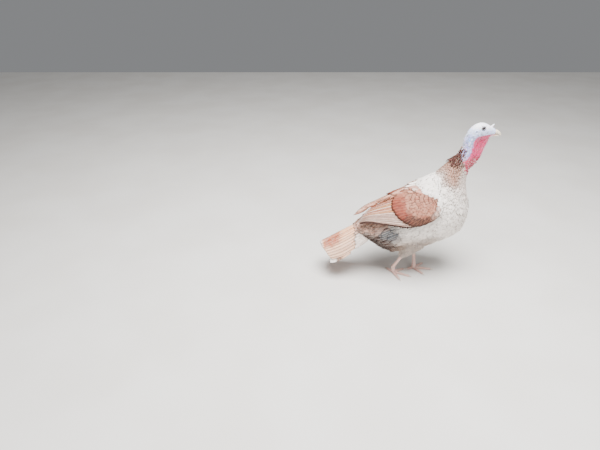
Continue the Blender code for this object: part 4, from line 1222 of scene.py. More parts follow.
def scute_roots(lines, tone):
    """Rows of plates down the front of the shank and along the tops of the toes."""
    found = []
    gap = 0.0034
    last_strip = 3 * len(lines) - 1
    for path, radius, facing, across in lines:
        run = path_run(path)
        spots = np.arange(0.004, run[-1] - 0.002, gap)
        number = len(spots)
        centre = np.stack([np.interp(spots, run, path[:, k]) for k in range(3)], -1)
        wide = np.interp(spots, run, radius)
        onward = unit(np.gradient(centre, axis=0))
        outward = unit(facing - onward * (onward @ facing)[:, None])
        sideways = np.cross(outward, onward)
        for turn, share in ((-0.75, 0.62), (0.0, 1.0), (0.75, 0.62)):
            lean = unit(outward * math.cos(turn) + sideways * math.sin(turn))
            values = coat_values(np.tile(tone, (number, 1)), np.minimum(tone * 1.15, 1), tone * 0.5, 0.0, 0.7,
                                 np.linspace(0.3, 0.7, number), 0.0)
            found.append(Roots(centre + lean * (wide * 0.90)[:, None] - onward * (gap * 0.5 * abs(turn)),
                               onward, lean, 0.10,
                               (np.full(number, gap * 1.45), wide * 1.25 * across * share, 0.0026),
                               (0.04 + 0.92 * spots / 0.095, 0.03 + 0.94 * len(found) / last_strip), values))
    return join_roots(*found)


class TURKEY_OT_legs(bpy.types.Operator):
    """Shanks, feet, scutes and claws"""
    bl_idname = "turkey.legs"
    bl_label = "Legs and claws"

    def execute(self, context):
        # Leg skin is small soft scales about 1.6 mm across: matt, pinkish grey, with painted shade in the
        # creases.
        soft = skin_material("scaly_leg_skin", 0.62, 1.6, 5.0, "#e6d6cf", "#8f7d78")
        # Scutes are overlapping horn plates: a little smoother, with a pale worn edge.
        plate = feather_material("leg_scute_horn", 1.0, 0.10, 0.05, 0, "#cdb7ae", 0.2, roughness=0.46)
        # Claws are close-grained horn, blunted by the ground: pale, and dark towards the root.
        horn = horn_material("claw_horn", 0.42, "#e6d9cd", "#b8a294", 2.0, (1.0, 1.0, 1.0))
        plates = vane_patterns("scute", 3, rows=5, columns=5, widths=(0.86, 1.0, 1.0, 0.66), curl=0.10,
                               bow=0.22, split=0.02, thick=0.16, seed=5)
        leg_tone = shade("leg")
        for label, leg in LEGS.items():
            clay, lines = leg_clay(label)
            mesh = clay.melt(size_of("skin_grain"), 2)
            points = places_of(mesh)
            points[:, 2] = np.maximum(points[:, 2], 0.0)
            put_places(mesh, points)
            # The tone is darker within 12 mm of the floor.
            darker_near_floor = smooth(-points[:, 2], -0.012, 0.0) * 0.5
            tone = blend(np.tile(leg_tone, (len(points), 1)), leg_tone * (0.62, 0.56, 0.52), darker_near_floor)
            colour_attribute(mesh, "tone", four_values(tone, 0.35))
            new_piece(f"leg_skin_{label}", mesh, soft, "leg_scale", f"shank_{label}", f"foot_{label}")
            lay_coat(f"scutes_{label}", scute_roots(lines, leg_tone), plates, plate, "leg_scale", stray=0.02,
                     seed=11)
            for toe, angle, length in TOES:
                path, radius, onward = toe_line(leg, angle, length, 8)
                s = np.linspace(-0.12, 1, 14)
                r = radius[-1] * (0.74 * np.clip(1 - s, 0, 1) ** 0.8 + 0.13)
                line = path[-1] * (1, 1, 0) + onward * (CLEAR + CLAW_LENGTH * s)[:, None]
                line[:, 2] = np.maximum(path[-1, 2] * (1 + 0.25 * s - 0.8 * s * s), r + CLEAR)
                claw = Clay()
                claw.tube(line, np.stack([r * 0.9, r], -1), np.cross(onward, (0, 0, 1)), 24)
                mesh = claw.mesh(f"claw_horn_{label}_{toe}")
                away = np.linalg.norm(places_of(mesh) - SHIFT - path[-1], axis=1)
                colour_attribute(mesh, "tone", blend(np.ones((len(away), 3)), np.array((0.62, 0.55, 0.52)),
                                                     smooth(-away, -0.006, 0.0)))
                new_piece(f"claw_horn_{label}_{toe}", mesh, horn, "horn", f"claw_{label}_{toe}")
        drop_patterns(plates)
        return {"FINISHED"}


# The skin under the coat

def coat_tone(t, angle, points):
    """Base colour of the trunk's coat, and the strength of its dusky marks."""
    x, _, z = points.reshape(-1, 3).T
    t, cosine = np.ravel(t), np.cos(np.ravel(angle))
    waver = rough(points, 0.030, 2)
    x, z = x + waver * 0.010, z + waver * 0.008
    tone = np.broadcast_to(shade("cream"), (len(x), 3))
    neck = smooth(-t - waver * 0.5, -6.6, -4.7)
    hind = smooth(cosine, -0.45, 0.25)
    tone = blend(tone, shade("beige"), neck * (0.45 + 0.55 * hind))
    tone = blend(tone, shade("umber"), neck * smooth(-t - waver * 0.3, -4.2, -3.3) * hind * 0.9)
    marks = 0.24 + neck * hind
    for over, weight, strong in (
            (shade("belly"), smooth(-z, -0.250, -0.150) * smooth(-x, -0.57, -0.50), 0.1),
            (shade("rump"), smooth(-x, -0.365, -0.340) * smooth(z, 0.195, 0.225), 0.5),
            (shade("slate"), np.exp(-((x - 0.356) / 0.038) ** 2 - ((z - 0.224) / 0.036) ** 2) * 1.6, 1.3),
            # Umber under the vent: dark down, deepened as painted shade of the underside.
            (shade("umber"), smooth(-x, -0.420, -0.345) * smooth(-z, -0.226, -0.200) * 1.1, 1.0)):
        tone = blend(tone, over, weight * 0.9)
        marks = marks + strong * weight
    return tone, np.clip(marks, 0, 1)


# How far the arm's middle lies under the wing's outer face.
ARM_DEPTH = 0.0190


class TURKEY_OT_under_skin(bpy.types.Operator):
    """Skin of the trunk, thighs, arms and tail stump, under the coat"""
    bl_idname = "turkey.under_skin"
    bl_label = "Skin under the coat"

    def execute(self, context):
        depth = size_of("coat_depth")
        clay = Clay()
        t = np.linspace(2.9, RUMP, 90)[:, None]
        angle = np.linspace(0, 2 * np.pi, 72, endpoint=False)[None]
        clay.loft(body_surface(t, angle, -0.003 - (depth - 0.003) * smooth(t, 3.2, 5.5)))
        for label, leg in LEGS.items():
            surface = thigh_surface(label, -depth * 0.6)
            clay.loft(surface(np.linspace(0.0, 0.99, 24)[:, None], angle))
            u = np.linspace(0.03, 0.66, 24)
            upper, lower = wing_sheet(u, 0.06), wing_sheet(u, 0.90)
            middle, _, outward = lie_on(wing_sheet, u, np.full(24, 0.5))
            tall = np.linalg.norm(upper - lower, axis=1) / 2 * np.interp(u, (0.5, 0.66), (0.92, 0.5))
            middle = mirror(middle - outward * ARM_DEPTH, leg["side"])
            clay.tube(middle, np.stack([tall, np.interp(u, (0.40, 0.60), (0.0145, 0.0100))], -1),
                      mirror(unit(upper - lower)[12], leg["side"]), 36)
        stump = np.array([(0.262, 0, 0.200), (0.235, 0, 0.190), (0.205, 0, 0.176), (0.185, 0, 0.166)])
        clay.tube(stump, ((0.044, 0.034), (0.044, 0.030), (0.036, 0.020), (0.022, 0.010)), (0, 1, 0), 36)
        mesh = clay.melt(size_of("under_grain"), 6)
        points = places_of(mesh) - SHIFT
        t = np.interp(-points[:, 0], [-(row[0] + row[2]) / 2 for row in BODY[3:]], np.arange(3, len(BODY)))
        middle = np.array([(row[1] + row[3]) / 2 for row in BODY])
        angle = np.arctan2(np.abs(points[:, 1]), points[:, 2] - np.interp(t, np.arange(len(BODY)), middle))
        tone, _ = coat_tone(t, angle, points)
        # The coat's colours at 0.62: painted shade on the skin under the feathers.
        colour_attribute(mesh, "tone", four_values(tone * 0.62, 0.15))
        # Skin under feathers is hidden: dull, in the coat's own colours darkened as painted shade, pitted
        # where quills stand.
        finish = skin_material("skin_under_feathers", 0.8, 4.0, 12.0, "#e8d8cc", "#8a7a72")
        new_piece("under_skin", mesh, finish, "cream_feather", "torso", "neck_lower", "thigh_left",
                  "thigh_right")
        return {"FINISHED"}


# Body feathers

def hidden_by_wing(points):
    """Roots that lie well under a folded wing."""
    x, y, z = points.T
    rows = curve_at(WING, np.linspace(0, 7, 60))[::-1]
    below = np.interp(x, rows[:, 3], rows[:, 5]) + 0.016
    inside = np.interp(x, rows[:, 0], rows[:, 1]) + 0.012
    return (x < 0.492) & (x > 0.215) & (z > below) & (np.abs(y) > inside)


def trunk_roots(start, end, gap_along, gap, low, high, seed, long=3.0, wide=2.0, sink=0.004, tilt=0.10,
                strong=1.0):
    """Roots in rows on the trunk between two angles from the back line."""
    run = row_length(body_surface, np.array([(start + end) / 2]), np.array([(low + high) / 2]), end - start)
    rows = max(2, round(float(run[0]) / gap_along))
    step = (end - start) / (rows - 1)
    a, b = shingle(body_surface, start, end, rows, gap, low, high, seed)
    tone, marks = coat_tone(a, b, body_surface(a, b))
    draw = np.random.default_rng(seed + 50)
    number = len(a)
    length = np.clip(row_length(body_surface, a, b, step) * long, 0.010, 0.044)
    fleck = draw.uniform(0, 1, number) < marks * 0.45
    values = coat_values(tone * draw.uniform(0.95, 1.03, (number, 1)),
                         blend(tone, shade("white"), 0.75 - 0.64 * marks),
                         blend(shade("dusky"), shade("umber"), marks),
                         marks * draw.uniform(0.2, 1.0, number) * strong, 0.8 - 0.4 * marks,
                         draw.uniform(0, 1, number), fleck * draw.uniform(0.5, 1.0, number))
    place = (0.01 + 0.98 * (a - start) / (end - start), 0.01 + 0.98 * (b - low) / (high - low))
    size = (length, np.full(number, gap * wide), length)
    return Roots.on(body_surface, a, b, sink, tilt, size, place, values)


def plume_roots():
    """A few long narrow feathers that hang loose from the front of the breast."""
    draw = np.random.default_rng(76)
    number = 9
    t = 5.75 + 0.10 * np.arange(number) / 2
    spots, _, outward = lie_on(body_surface, t, np.pi + draw.uniform(-0.14, 0.14, number))
    onward = unit(np.array([0.34, 0, -0.92]) + draw.uniform(-0.07, 0.07, (number, 3)))
    values = coat_values(np.tile(shade("cream"), (number, 1)), shade("white"), shade("dusky"), 0.3, 0.8,
                         draw.uniform(0, 1, number), 0.0)
    size = (draw.uniform(0.036, 0.050, number), 0.011, 0.030)
    place = (np.linspace(0.02, 0.98, number),) * 2
    return Roots(spots - outward * 0.002, onward, outward, 0.0, size, place, values)


class TURKEY_OT_body_feathers(bpy.types.Operator):
    """Feathers of the neck, breast, back, flanks, belly and vent"""
    bl_idname = "turkey.body_feathers"
    bl_label = "Body feathers"

    def execute(self, context):
        gap = size_of("feather_gap")
        vanes = vane_patterns("body_vane", 6, seed=2)
        fluff = fluff_patterns("down_tuft", 5, 5, seed=3)
        bristles = vane_patterns("bristle", 4, rows=6, columns=3, widths=(0.5, 1.0, 0.9, 0.6, 0.12),
                                 curl=0.12, split=0.02, seed=4)
        # Contour feathers are keratin vanes hooked closed: soft, matt, a paler edge, a few dusky marks.
        contour = feather_material("contour_feather", 1.6, 0.10, 0.07, 0, "#e6dccf", 0.30)
        # Down has loose unhooked barbs: they scatter light, so it is dull and holds no line.
        down = feather_material("loose_down", 3.0, 0.20, 0.0, 0, "#e8e0d6", 0.5, roughness=0.85)
        # Neck bristles are narrow stiff vanes: dark, with a thin beige edge.
        bristle = feather_material("neck_bristle", 3.0, 0.12, 0.10, 0, "#8d7466", 0.2)
        tau = 2 * np.pi
        neck = trunk_roots(2.6, 6.4, 0.0072, 0.0080, 0, tau, 21, 2.6, 1.8, 0.003, 0.12)
        front = np.interp(neck.points[:, 2], (0.44, 0.47, 0.50, 0.52), (0.640, 0.604, 0.580, 0.566))
        neck.keep(neck.points[:, 0] < front)
        breast = trunk_roots(5.4, 9.8, 0.0090, gap, 1.30, tau - 1.30, 22, 3.0, 1.9, tilt=0.06)
        back = trunk_roots(5.4, 12.0, 0.0088, gap, -1.30, 1.30, 23, 3.2, 1.9, tilt=0.06)
        flank = trunk_roots(9.6, 13.4, 0.0090, gap, 1.20, tau - 1.20, 24, 3.2, 2.0)
        rump = trunk_roots(11.8, 15.9, 0.0075, gap * 0.9, -1.9, 1.9, 25, 3.3, 2.0)
        belly = trunk_roots(9.4, 14.0, 0.0085, 0.0110, 1.9, tau - 1.9, 26, 3.2, 2.0, 0.005, 0.22, 0.4)
        vent = trunk_roots(13.0, 15.9, 0.0070, 0.0100, 1.7, tau - 1.7, 27, 4.0, 2.1, 0.003, 0.30)
        pieces = (("neck_feathers", neck, vanes, contour), ("breast_feathers", breast, vanes, contour),
                  ("back_feathers", back, vanes, contour), ("flank_feathers", flank, vanes, contour),
                  ("rump_feathers", rump, vanes, contour), ("belly_down", belly, fluff, down),
                  ("vent_down", vent, fluff, down))
        for seed, (name, roots, patterns, finish) in enumerate(pieces):
            roots.keep(~hidden_by_wing(roots.points))
            lay_coat(name, roots, patterns, finish, "cream_feather", stray=0.11, seed=31 + seed)

        lay_coat("breast_plume", plume_roots(), bristles, contour, "cream_feather", stray=0.10, seed=40)
        roots = trunk_roots(2.0, 4.1, 0.0054, 0.0058, -1.05, 1.05, 28, 2.3, 0.7, 0.001, 0.30)
        draw = np.random.default_rng(9)
        tone = blend(shade("umber"), shade("deep_rose"), draw.uniform(0, 0.35, len(roots.points)))
        roots.values["tone"][:, :3] = blend(tone, shade("beige"), draw.uniform(0, 1, len(roots.points)) ** 4)
        roots.values["rim"][:, :3] = blend(shade("umber"), shade("beige"), 0.6)
        lay_coat("neck_bristles", roots, bristles, bristle, "chestnut_feather", stray=0.35, seed=41)
        drop_patterns(vanes, fluff, bristles)
        return {"FINISHED"}


class TURKEY_OT_thigh_feathers(bpy.types.Operator):
    """Loose feathers of the thighs, down to the hocks"""
    bl_idname = "turkey.thigh_feathers"
    bl_label = "Thigh feathers"

    def execute(self, context):
        fluff = fluff_patterns("thigh_tuft", 5, 5, seed=6)
        # Thigh feathers have long loose tips: soft grey cream without a firm edge.
        down = feather_material("thigh_down", 3.0, 0.20, 0.0, 0, "#ddd3c8", 0.5, roughness=0.85)
        for label in LEGS:
            surface = thigh_surface(label)
            a, b = shingle(surface, 0.12, 0.96, 15, 0.0085, 0, 2 * np.pi, 61)
            number = len(a)
            draw = np.random.default_rng(62)
            long = np.interp(a, (0, 0.6, 1), (0.030, 0.024, 0.014))
            tone = blend(shade("belly"), shade("cream"), 0.3)
            tone = blend(tone, shade("slate"), draw.uniform(0, 0.4, number))
            values = coat_values(tone, shade("cream"), shade("umber"), 0.3, 0.7, draw.uniform(0, 1, number),
                                 0.0)
            size = (long, np.interp(a, (0, 0.8, 1), (0.020, 0.015, 0.010)), long)
            roots = Roots.on(surface, a, b, 0.003, 0.10, size, (a, b / (2 * np.pi)), values)
            lay_coat(f"thigh_feathers_{label}", roots, fluff, down, "grey_feather", stray=0.18, seed=63)
        drop_patterns(fluff)
        return {"FINISHED"}


# Wings

# Where the fan of coverts ends on the wing's sheet, from the upper edge to the lower front: u, v.
COVERT_EDGE = (
    (0.530, -0.05),
    (0.600, 0.16),
    (0.620, 0.40),
    (0.600, 0.62),
    (0.520, 0.86),
    (0.360, 1.05),
    (0.210, 1.09),
    (0.090, 1.04),
)
TIERS = 14


def cape_low(u):
    """How far down the wing's face the cape reaches at each place along it."""
    return np.interp(u, (0.0, 0.15, 0.32, 0.50), (0.30, 0.18, 0.00, -0.02))


def covert_spot(reach, turn):
    """Place (u, v) on the wing's sheet: reach from the wrist to the fan's edge, turn from top to bottom."""
    reach, turn = np.broadcast_arrays(np.asarray(reach, float), np.asarray(turn, float))
    edge = curve_at(COVERT_EDGE, turn * (len(COVERT_EDGE) - 1))
    hub = np.stack([0.02 + 0.05 * turn, 0.02 + 0.40 * turn], -1)
    return np.moveaxis(hub + (edge - hub) * reach[..., None], -1, 0)


def covert_fan(reach, turn):
    """The wing's face by tiers of coverts."""
    return wing_sheet(*covert_spot(reach, turn))


def covert_roots(side):
    """Tiers of coverts that fan out from the wrist, the last ones long and chestnut."""
    found = []
    draw = np.random.default_rng(71)
    for tier in range(TIERS):
        s = (tier + 1) / TIERS
        gap = size_of("covert_gap") * (0.60 + 0.62 * s)
        a, b = shingle(covert_fan, s, s, 1, gap, 0.0, 1.0, 71 + tier)
        number = len(a)
        reach = np.linalg.norm(covert_fan(np.ones(number), b) - covert_fan(np.zeros(number), b), axis=1)
        long = np.minimum(0.014 + 0.026 * s ** 1.5, 0.55 * reach) * draw.uniform(0.97, 1.03, number)
        a = np.maximum(s - long / reach, 0.0)
        long = np.maximum((s - a) * reach, 0.011)
        top = smooth(-b, -0.24, -0.04)
        last = smooth(s - 0.10 * top + draw.uniform(-0.02, 0.02, number), 0.80, 0.88)
        last = last * smooth(-b, -0.92, -0.78)
        low = smooth(b + draw.uniform(-0.05, 0.05, number), 0.42, 0.66)
        tone = blend(shade("salmon"), shade("salmon_edge"), draw.uniform(0, 0.18, number))
        front = smooth(b, 0.80, 0.96)
        tone = blend(tone, shade("cream"), front * 0.55 + 0.35 * smooth(-s, -0.22, -0.10))
        rich = blend(shade("chestnut"), shade("dark_chestnut"), low)
        rich = blend(rich, blend(shade("salmon"), tone, 0.5), top)
        tone = blend(tone, rich, last * draw.uniform(0.85, 1.0, number))
        rim = blend(shade("salmon_edge"), blend(rich, shade("ochre"), 0.2), last * 0.95)
        line = draw.uniform(0.85, 1.0, number) * (1 - 0.45 * last) * (1 - 0.6 * top - 0.6 * front)
        values = coat_values(tone, rim, shade("umber"), line, 0.65, draw.uniform(0, 1, number), 0.0)
        size = (long, np.minimum(gap * 2.4, long * 0.85), 0.018 + 0.010 * s)
        roots = Roots.on(covert_fan, a, b, 0.0022 - 0.0012 * s, 0.07, size, (0.02 + 0.96 * a, b), values)
        u, v = covert_spot(s, b)
        crowded = (reach < 0.085) & (tier % 2 == 1) & (tier < TIERS - 2)
        found.append(roots.keep((v > cape_low(u) - 0.03) & ~crowded))
    return join_roots(*found).on_side(side)


def shoulder_roots(side):
    """Pale feathers of the shoulder that lie over the wing's front edge."""
    draw = np.random.default_rng(72)
    front = np.linspace(0.0, 1.05, 26)
    a = np.concatenate([0 * front, 0 * front + 0.02])
    b = np.concatenate([front, front + 0.02])
    number = len(a)
    tone = blend(shade("cream"), shade("white"), draw.uniform(0, 0.6, number))
    values = coat_values(tone, shade("white"), shade("dusky"), draw.uniform(0, 0.35, number), 0.8,
                         draw.uniform(0, 1, number), 0.0)
    long = 0.019 * draw.uniform(0.8, 1.15, number)
    place = (0.05 + 40 * a, b / 1.07)
    return Roots.on(wing_sheet, a, b, 0.0, 0.06, (long, long * 0.75, long), place, values).on_side(side)


def underwing_shade_roots(side):
    """Short dark feathers under the lower edge, where the wing stands off the flank: painted shade for the
    shadow there.
    """
    draw = np.random.default_rng(73)
    a = np.linspace(0.10, 0.94, 84)
    number = len(a)
    spots, _, outward = lie_on(wing_sheet, a, np.full(number, 0.93))
    onward = unit(wing_sheet(a, 1.0) - wing_sheet(a, 0.86) + (-0.004, 0, 0))
    # Painted shade: umber and dark chestnut, darkened further.
    tone = blend(shade("umber"), shade("dark_chestnut"), draw.uniform(0, 0.6, number))
    values = coat_values(tone * 0.6, tone, shade("umber"), 0.3, 0.5, draw.uniform(0, 1, number), 0.0)
    chord = np.linalg.norm(wing_sheet(a, 1.0) - spots, axis=1)
    long = (chord + 0.0065) * draw.uniform(0.9, 1.1, number)
    return Roots(spots - outward * 0.0062, onward, outward, -0.10, (long, np.full(number, 0.010), long),
                 (a, draw.uniform(0, 1, number)), values).on_side(side)


def cape(u, w):
    """A saddle over both wings' upper edges: w is -1 and 1 where it meets their outer faces."""
    u, w = np.broadcast_arrays(np.asarray(u, float), np.asarray(w, float))
    out, _, outward = lie_on(wing_sheet, u, cape_low(u))
    out = out + outward * 0.0026
    ridge = wing_sheet(u, np.zeros(u.shape))
    backs = np.asarray(BODY)[::-1]
    high = np.maximum(np.interp(ridge[..., 0], backs[:, 0], backs[:, 1]) + 0.003,
                      ridge[..., 2] + 0.005 + 0.12 * ridge[..., 1])
    return np.stack([out[..., 0], out[..., 1] * w, high + (out[..., 2] - high) * np.abs(w) ** 2.2], -1)


def cape_roots():
    """Shoulder-blade feathers and the first long feathers that close the back between the wings."""
    draw = np.random.default_rng(74)
    a, b = shingle(cape, 0.06, 0.86, 18, 0.0105, -1.0, 1.0, 75)
    number = len(a)
    long = np.interp(a, (0.0, 0.30, 0.60, 0.85), (0.028, 0.036, 0.052, 0.048))
    long = long * draw.uniform(0.9, 1.1, number)
    rear = smooth(a + 0.10 * b ** 2 + draw.uniform(-0.04, 0.04, number), 0.27, 0.37)
    tone = blend(shade("cream"), shade("white"), draw.uniform(0, 0.8, number))
    warm = blend(shade("salmon_edge"), shade("mauve"), draw.uniform(0.3, 1, number))
    warm = blend(warm, shade("salmon"), draw.uniform(0, 0.9, number))
    tone = blend(tone, warm, rear)
    values = coat_values(tone, blend(shade("white"), shade("salmon_edge"), rear), shade("quill_dark"),
                         draw.uniform(0.3, 1.0, number) * rear, 0.8, draw.uniform(0, 1, number), 0.0)
    wide = np.interp(a, (0.0, 0.5, 0.85), (0.022, 0.020, 0.013))
    sink = np.interp(a, (0.06, 0.20), (0.0060, 0.0004))
    return Roots.on(cape, a, b, sink, 0.03, (long, wide, long * 0.7), (1.2 * a, (b + 1) / 2), values)


# How finely each long vane is drawn, and how thick it is.
QUILL_ROWS = 30
QUILL_COLUMNS = 9
QUILL_THICKNESS = 0.0008


def bake_strip(index, count):
    """A long vane's part of the bake map: one of several strips side by side."""
    return (0.01 + 0.98 * index / count, 0.01), (0.01 + 0.98 * (index + 0.96) / count, 0.99)


def quill_grid(sheet, u, c, width, across, depth):
    """Points and normals of a long vane that follows a sheet, at a depth under it."""
    places = across(c * width[:, None])
    spots, _, outward = lie_on(sheet, u[:, None] + 0 * places, places)
    return spots - outward * depth(c * width[:, None])[..., None], outward


def wing_quills(side):
    """Tertials, secondaries and primaries, each one layer under the one above it."""
    sheaf = Sheaf()
    number = size_of("quills")
    layer = 0.0013
    draw = np.random.default_rng(81)
    c = np.linspace(-1, 1, QUILL_COLUMNS)[None]
    s = np.linspace(0, 1, QUILL_ROWS)
    warm = (blend(shade("quill_dark"), shade("mauve"), 0.3), blend(shade("salmon_edge"), shade("mauve"), 0.5),
            shade("ochre"), blend(shade("salmon_edge"), shade("white"), 0.4))
    for k in range(number):
        share = k / (number - 1)
        tip = 0.84 + 0.16 * share ** 0.75 + draw.uniform(-0.006, 0.0)
        u = 0.34 + (tip - 0.34) * (1 - (1 - s) ** 1.25)
        blunt = 0.93 - 0.10 * share
        width = np.sqrt(np.clip(1 - (np.clip((s - blunt) / (1 - blunt), 0, 1)) ** 2.2, 0.006, 1))
        width = width * np.where(draw.uniform(0, 1, QUILL_ROWS) < 0.10, 0.93, 1.0)

        def across(off, k=k):
            return np.clip((k + 0.5 + 1.2 * off) / number, 0.0, 1.0) ** 0.85

        def depth(off):
            return 0.0016 + layer * (1.2 - 1.2 * off)

        middle, normal = quill_grid(wing_sheet, u, c, width, across, depth)
        pale = smooth(share + draw.uniform(-0.04, 0.04), 0.42, 0.60)
        tone = blend(warm[k % 4], shade("stone") * (1.1, 0.86)[k % 2], pale * 0.9)
        inner = smooth(-c, -0.70, -0.30) * np.ones((QUILL_ROWS, 1))
        grid = np.broadcast_to(tone, (QUILL_ROWS, QUILL_COLUMNS, 3))
        grid = blend(grid, shade("quill_dark"), inner * (0.70 - 0.45 * pale))
        fore = smooth(-u, -0.80, -0.60)[:, None] * np.ones((1, QUILL_COLUMNS))
        grid = blend(grid, shade("ochre"), fore * 0.30 * (1 - pale) * (share > 0.12))
        grid = grid * draw.uniform(0.88, 1.06)
        tipped = smooth(u, tip - 0.05, tip)[:, None] + 0 * c
        grid = blend(grid, shade("white"), 0.45 * tipped)
        sheaf.add(mirror(middle, side), mirror(normal, side), QUILL_THICKNESS, bake_strip(k, number),
                  tone=grid, rim=blend(shade("salmon_edge"), shade("white"), 0.5), mark=shade("quill_dark"),
                  form=(0.7, 0.7, draw.uniform(0, 1), 0.0))
    return sheaf


class TURKEY_OT_wings(bpy.types.Operator):
    """Quills, coverts, shoulder feathers and painted-shade feathers under the lower edge of both wings, and
    the cape between them
    """
    bl_idname = "turkey.wings"
    bl_label = "Wings"

    def execute(self, context):
        vanes = vane_patterns("covert_vane", 6, rows=7, columns=5, widths=(0.45, 0.88, 1.0, 1.0, 0.62),
                              curl=0.10, bow=0.12, split=0.03, seed=7)
        long_vanes = vane_patterns("cape_vane", 5, rows=8, columns=5, widths=(0.5, 0.9, 1.0, 0.95, 0.45),
                                   curl=0.04, bow=0.10, split=0.03, seed=9)
        # Quills are firm long vanes with a stiff shaft: satin, with a pale hard edge.
        quill = feather_material("wing_quill", 7.0, 0.03, 0.04, 0.45, "#b9794a", 0.1, roughness=0.62)
        # Coverts are small firm vanes: a dark pencil line inside a pale edge. The painted-shade feathers
        # under the wing share this finish.
        covert = feather_material("wing_covert", 1.6, 0.08, 0.15, 0.35, "#9a6248", 0.30)
        # Shoulder and cape feathers are soft open vanes: matt, with a broad pale edge.
        soft = feather_material("shoulder_feather", 1.6, 0.10, 0.05, 0, "#e6dccf", 0.2)
        for label, side in (("left", 1), ("right", -1)):
            mesh = wing_quills(side).mesh(f"wing_quills_{label}")
            new_piece(f"wing_quills_{label}", mesh, quill, "chestnut_feather", f"wing_{label}")
            lay_coat(f"wing_coverts_{label}", covert_roots(side), vanes, covert, "chestnut_feather",
                     stray=0.025, seed=91)
            lay_coat(f"shoulder_feathers_{label}", shoulder_roots(side), vanes, soft, "cream_feather",
                     stray=0.12, seed=92)
            # A band of dark feathers painted as the shade under the wing.
            lay_coat(f"wing_lining_{label}", underwing_shade_roots(side), vanes, covert, "chestnut_feather",
                     stray=0.08, seed=94)
        lay_coat("cape_feathers", cape_roots(), long_vanes, soft, "cream_feather", stray=0.05, seed=93)
        drop_patterns(vanes, long_vanes)
        return {"FINISHED"}


# Tail

def tail_tone(u, v, points):
    """Colours along the tail: peach, with a tan patch near the end and white tips."""
    waver = rough(points, 0.020, 2).reshape(u.shape)
    tone = np.broadcast_to(shade("cream"), (*u.shape, 3))
    tone = blend(tone, shade("peach"), 0.75 + 0.25 * smooth(-np.abs(v), -0.80, -0.15))
    patch = smooth(u + waver * 0.05, 0.50, 0.64) * smooth(-u - waver * 0.03, -0.96, -0.88)
    patch = patch * smooth(-np.abs(v + waver * 0.1), -0.62, -0.40)
    tone = blend(tone, shade("tan"), patch * 0.9)
    tone = blend(tone, shade("rump"), smooth(-u, -0.24, -0.10) * 0.6 * smooth(-np.abs(v), -0.75, -0.45))
    return blend(tone, shade("white"), smooth(u, 0.92, 0.98) * 0.85)


class TURKEY_OT_tail(bpy.types.Operator):
    """Tail feathers with their upper coverts"""
    bl_idname = "turkey.tail"
    bl_label = "Tail"

    def execute(self, context):
        pairs = size_of("tail_pairs")
        layer = 0.0012
        sheaf = Sheaf()
        draw = np.random.default_rng(101)
        c = np.linspace(-1, 1, QUILL_COLUMNS)[None]
        s = np.linspace(0, 1, QUILL_ROWS)
        # The middle feather, the pairs, and one loose feather below each side.
        strips = 2 * pairs + 3
        for index in range(strips):
            side = -1 if index % 2 else 1
            k = (index - 1) // 2 if index else -1
            loose = k == pairs
            tip = 1 - 0.006 * max(k, 0) - 0.0028 * max(k, 0) ** 2 + draw.uniform(-0.008, 0.0)
            tip = 0.79 if loose else tip
            start = 0.34 if loose else 0.02
            u = start + (tip - start) * s
            width = np.sqrt(np.clip(1 - np.clip((s - 0.93) / 0.07, 0, 1) ** 2.4, 0.01, 1))
            width = width * np.where(draw.uniform(0, 1, QUILL_ROWS) < 0.08, 0.94, 1.0)

            def across(off, k=k, loose=loose):
                if k < 0:
                    return off * 1.3 / pairs
                if loose:
                    return 1.0 + 0.085 * off
                return np.clip((k + 0.5 + 1.5 * off) / (pairs + 0.3), 0.0, 1.0)

            def depth(off, k=k):
                return 0.0 * off - 0.0004 if k < 0 else 0.0012 + layer * (1.5 - 1.5 * off)

            middle, normal = quill_grid(tail_sheet, u, c, width, across, depth)
            if loose:
                middle[..., 2] -= 0.009 * smooth(u, 0.36, 0.70)[:, None]
            places = across(c * width[:, None])
            grid = tail_tone(u[:, None] + 0 * places, places, middle) * draw.uniform(0.94, 1.04)
            # Painted shade: the loose feather's base is dark, for the dark gap beside its white tip.
            grid = blend(grid, shade("umber"), 0.8 * loose * smooth(u, 0.48, 0.56)[:, None] + 0 * c)
            grid = blend(grid, shade("white"), 1.0 * loose * smooth(u, 0.62, 0.68)[:, None] + 0 * c)
            sheaf.add(mirror(middle, side), mirror(normal, side), QUILL_THICKNESS,
                      bake_strip(index, strips), tone=grid, rim=shade("white"),
                      mark=blend(shade("tan"), shade("dusky"), 0.3), form=(0.5, 0.5, draw.uniform(0, 1), 0.0))
        # Tail feathers are broad stiff vanes: satin peach, faintly streaked, with white ends.
        quill = feather_material("tail_quill", 6.0, 0.02, 0.0, 0.30, "#e0b48c", 0.1, roughness=0.62)
        new_piece("tail_quills", sheaf.mesh("tail_quills"), quill, "peach_feather", "tail")

        vanes = vane_patterns("tail_vane", 5, rows=7, columns=5, widths=(0.4, 0.9, 1.0, 0.95, 0.50),
                              curl=0.06, bow=0.12, split=0.03, seed=8)
        a, b = shingle(tail_sheet, -0.02, 0.13, 8, 0.0100, -1.0, 1.0, 102)
        number = len(a)
        tone = blend(shade("rump"), shade("salmon_edge"), draw.uniform(0, 0.4, number))
        tone = blend(tone, shade("cream"), smooth(np.abs(b), 0.35, 0.70) * 0.85)
        values = coat_values(tone, blend(shade("salmon_edge"), shade("cream"), 0.5), shade("umber"),
                             draw.uniform(0.4, 1.0, number) * smooth(-np.abs(b), -0.9, -0.5), 1.0,
                             draw.uniform(0, 1, number), 0.0)
        long = np.interp(a, (0, 0.15), (0.022, 0.028)) * draw.uniform(0.7, 1.3, number)
        roots = Roots.on(tail_sheet, a, np.clip(b, -0.98, 0.98), 0.0006, 0.06,
                         (long, np.full(number, 0.018), long), (0.15 + 5.8 * a, (b + 1) / 2), values)
        # Tail coverts are firm vanes: reddish brown with a cream scallop and a dark bar inside it.
        covert = feather_material("tail_covert", 1.6, 0.13, 0.12, 0.2, "#a87c68", 0.25)
        lay_coat("tail_coverts", roots, vanes, covert, "tan_feather", stray=0.08, seed=103)
        drop_patterns(vanes)
        return {"FINISHED"}


# Stage

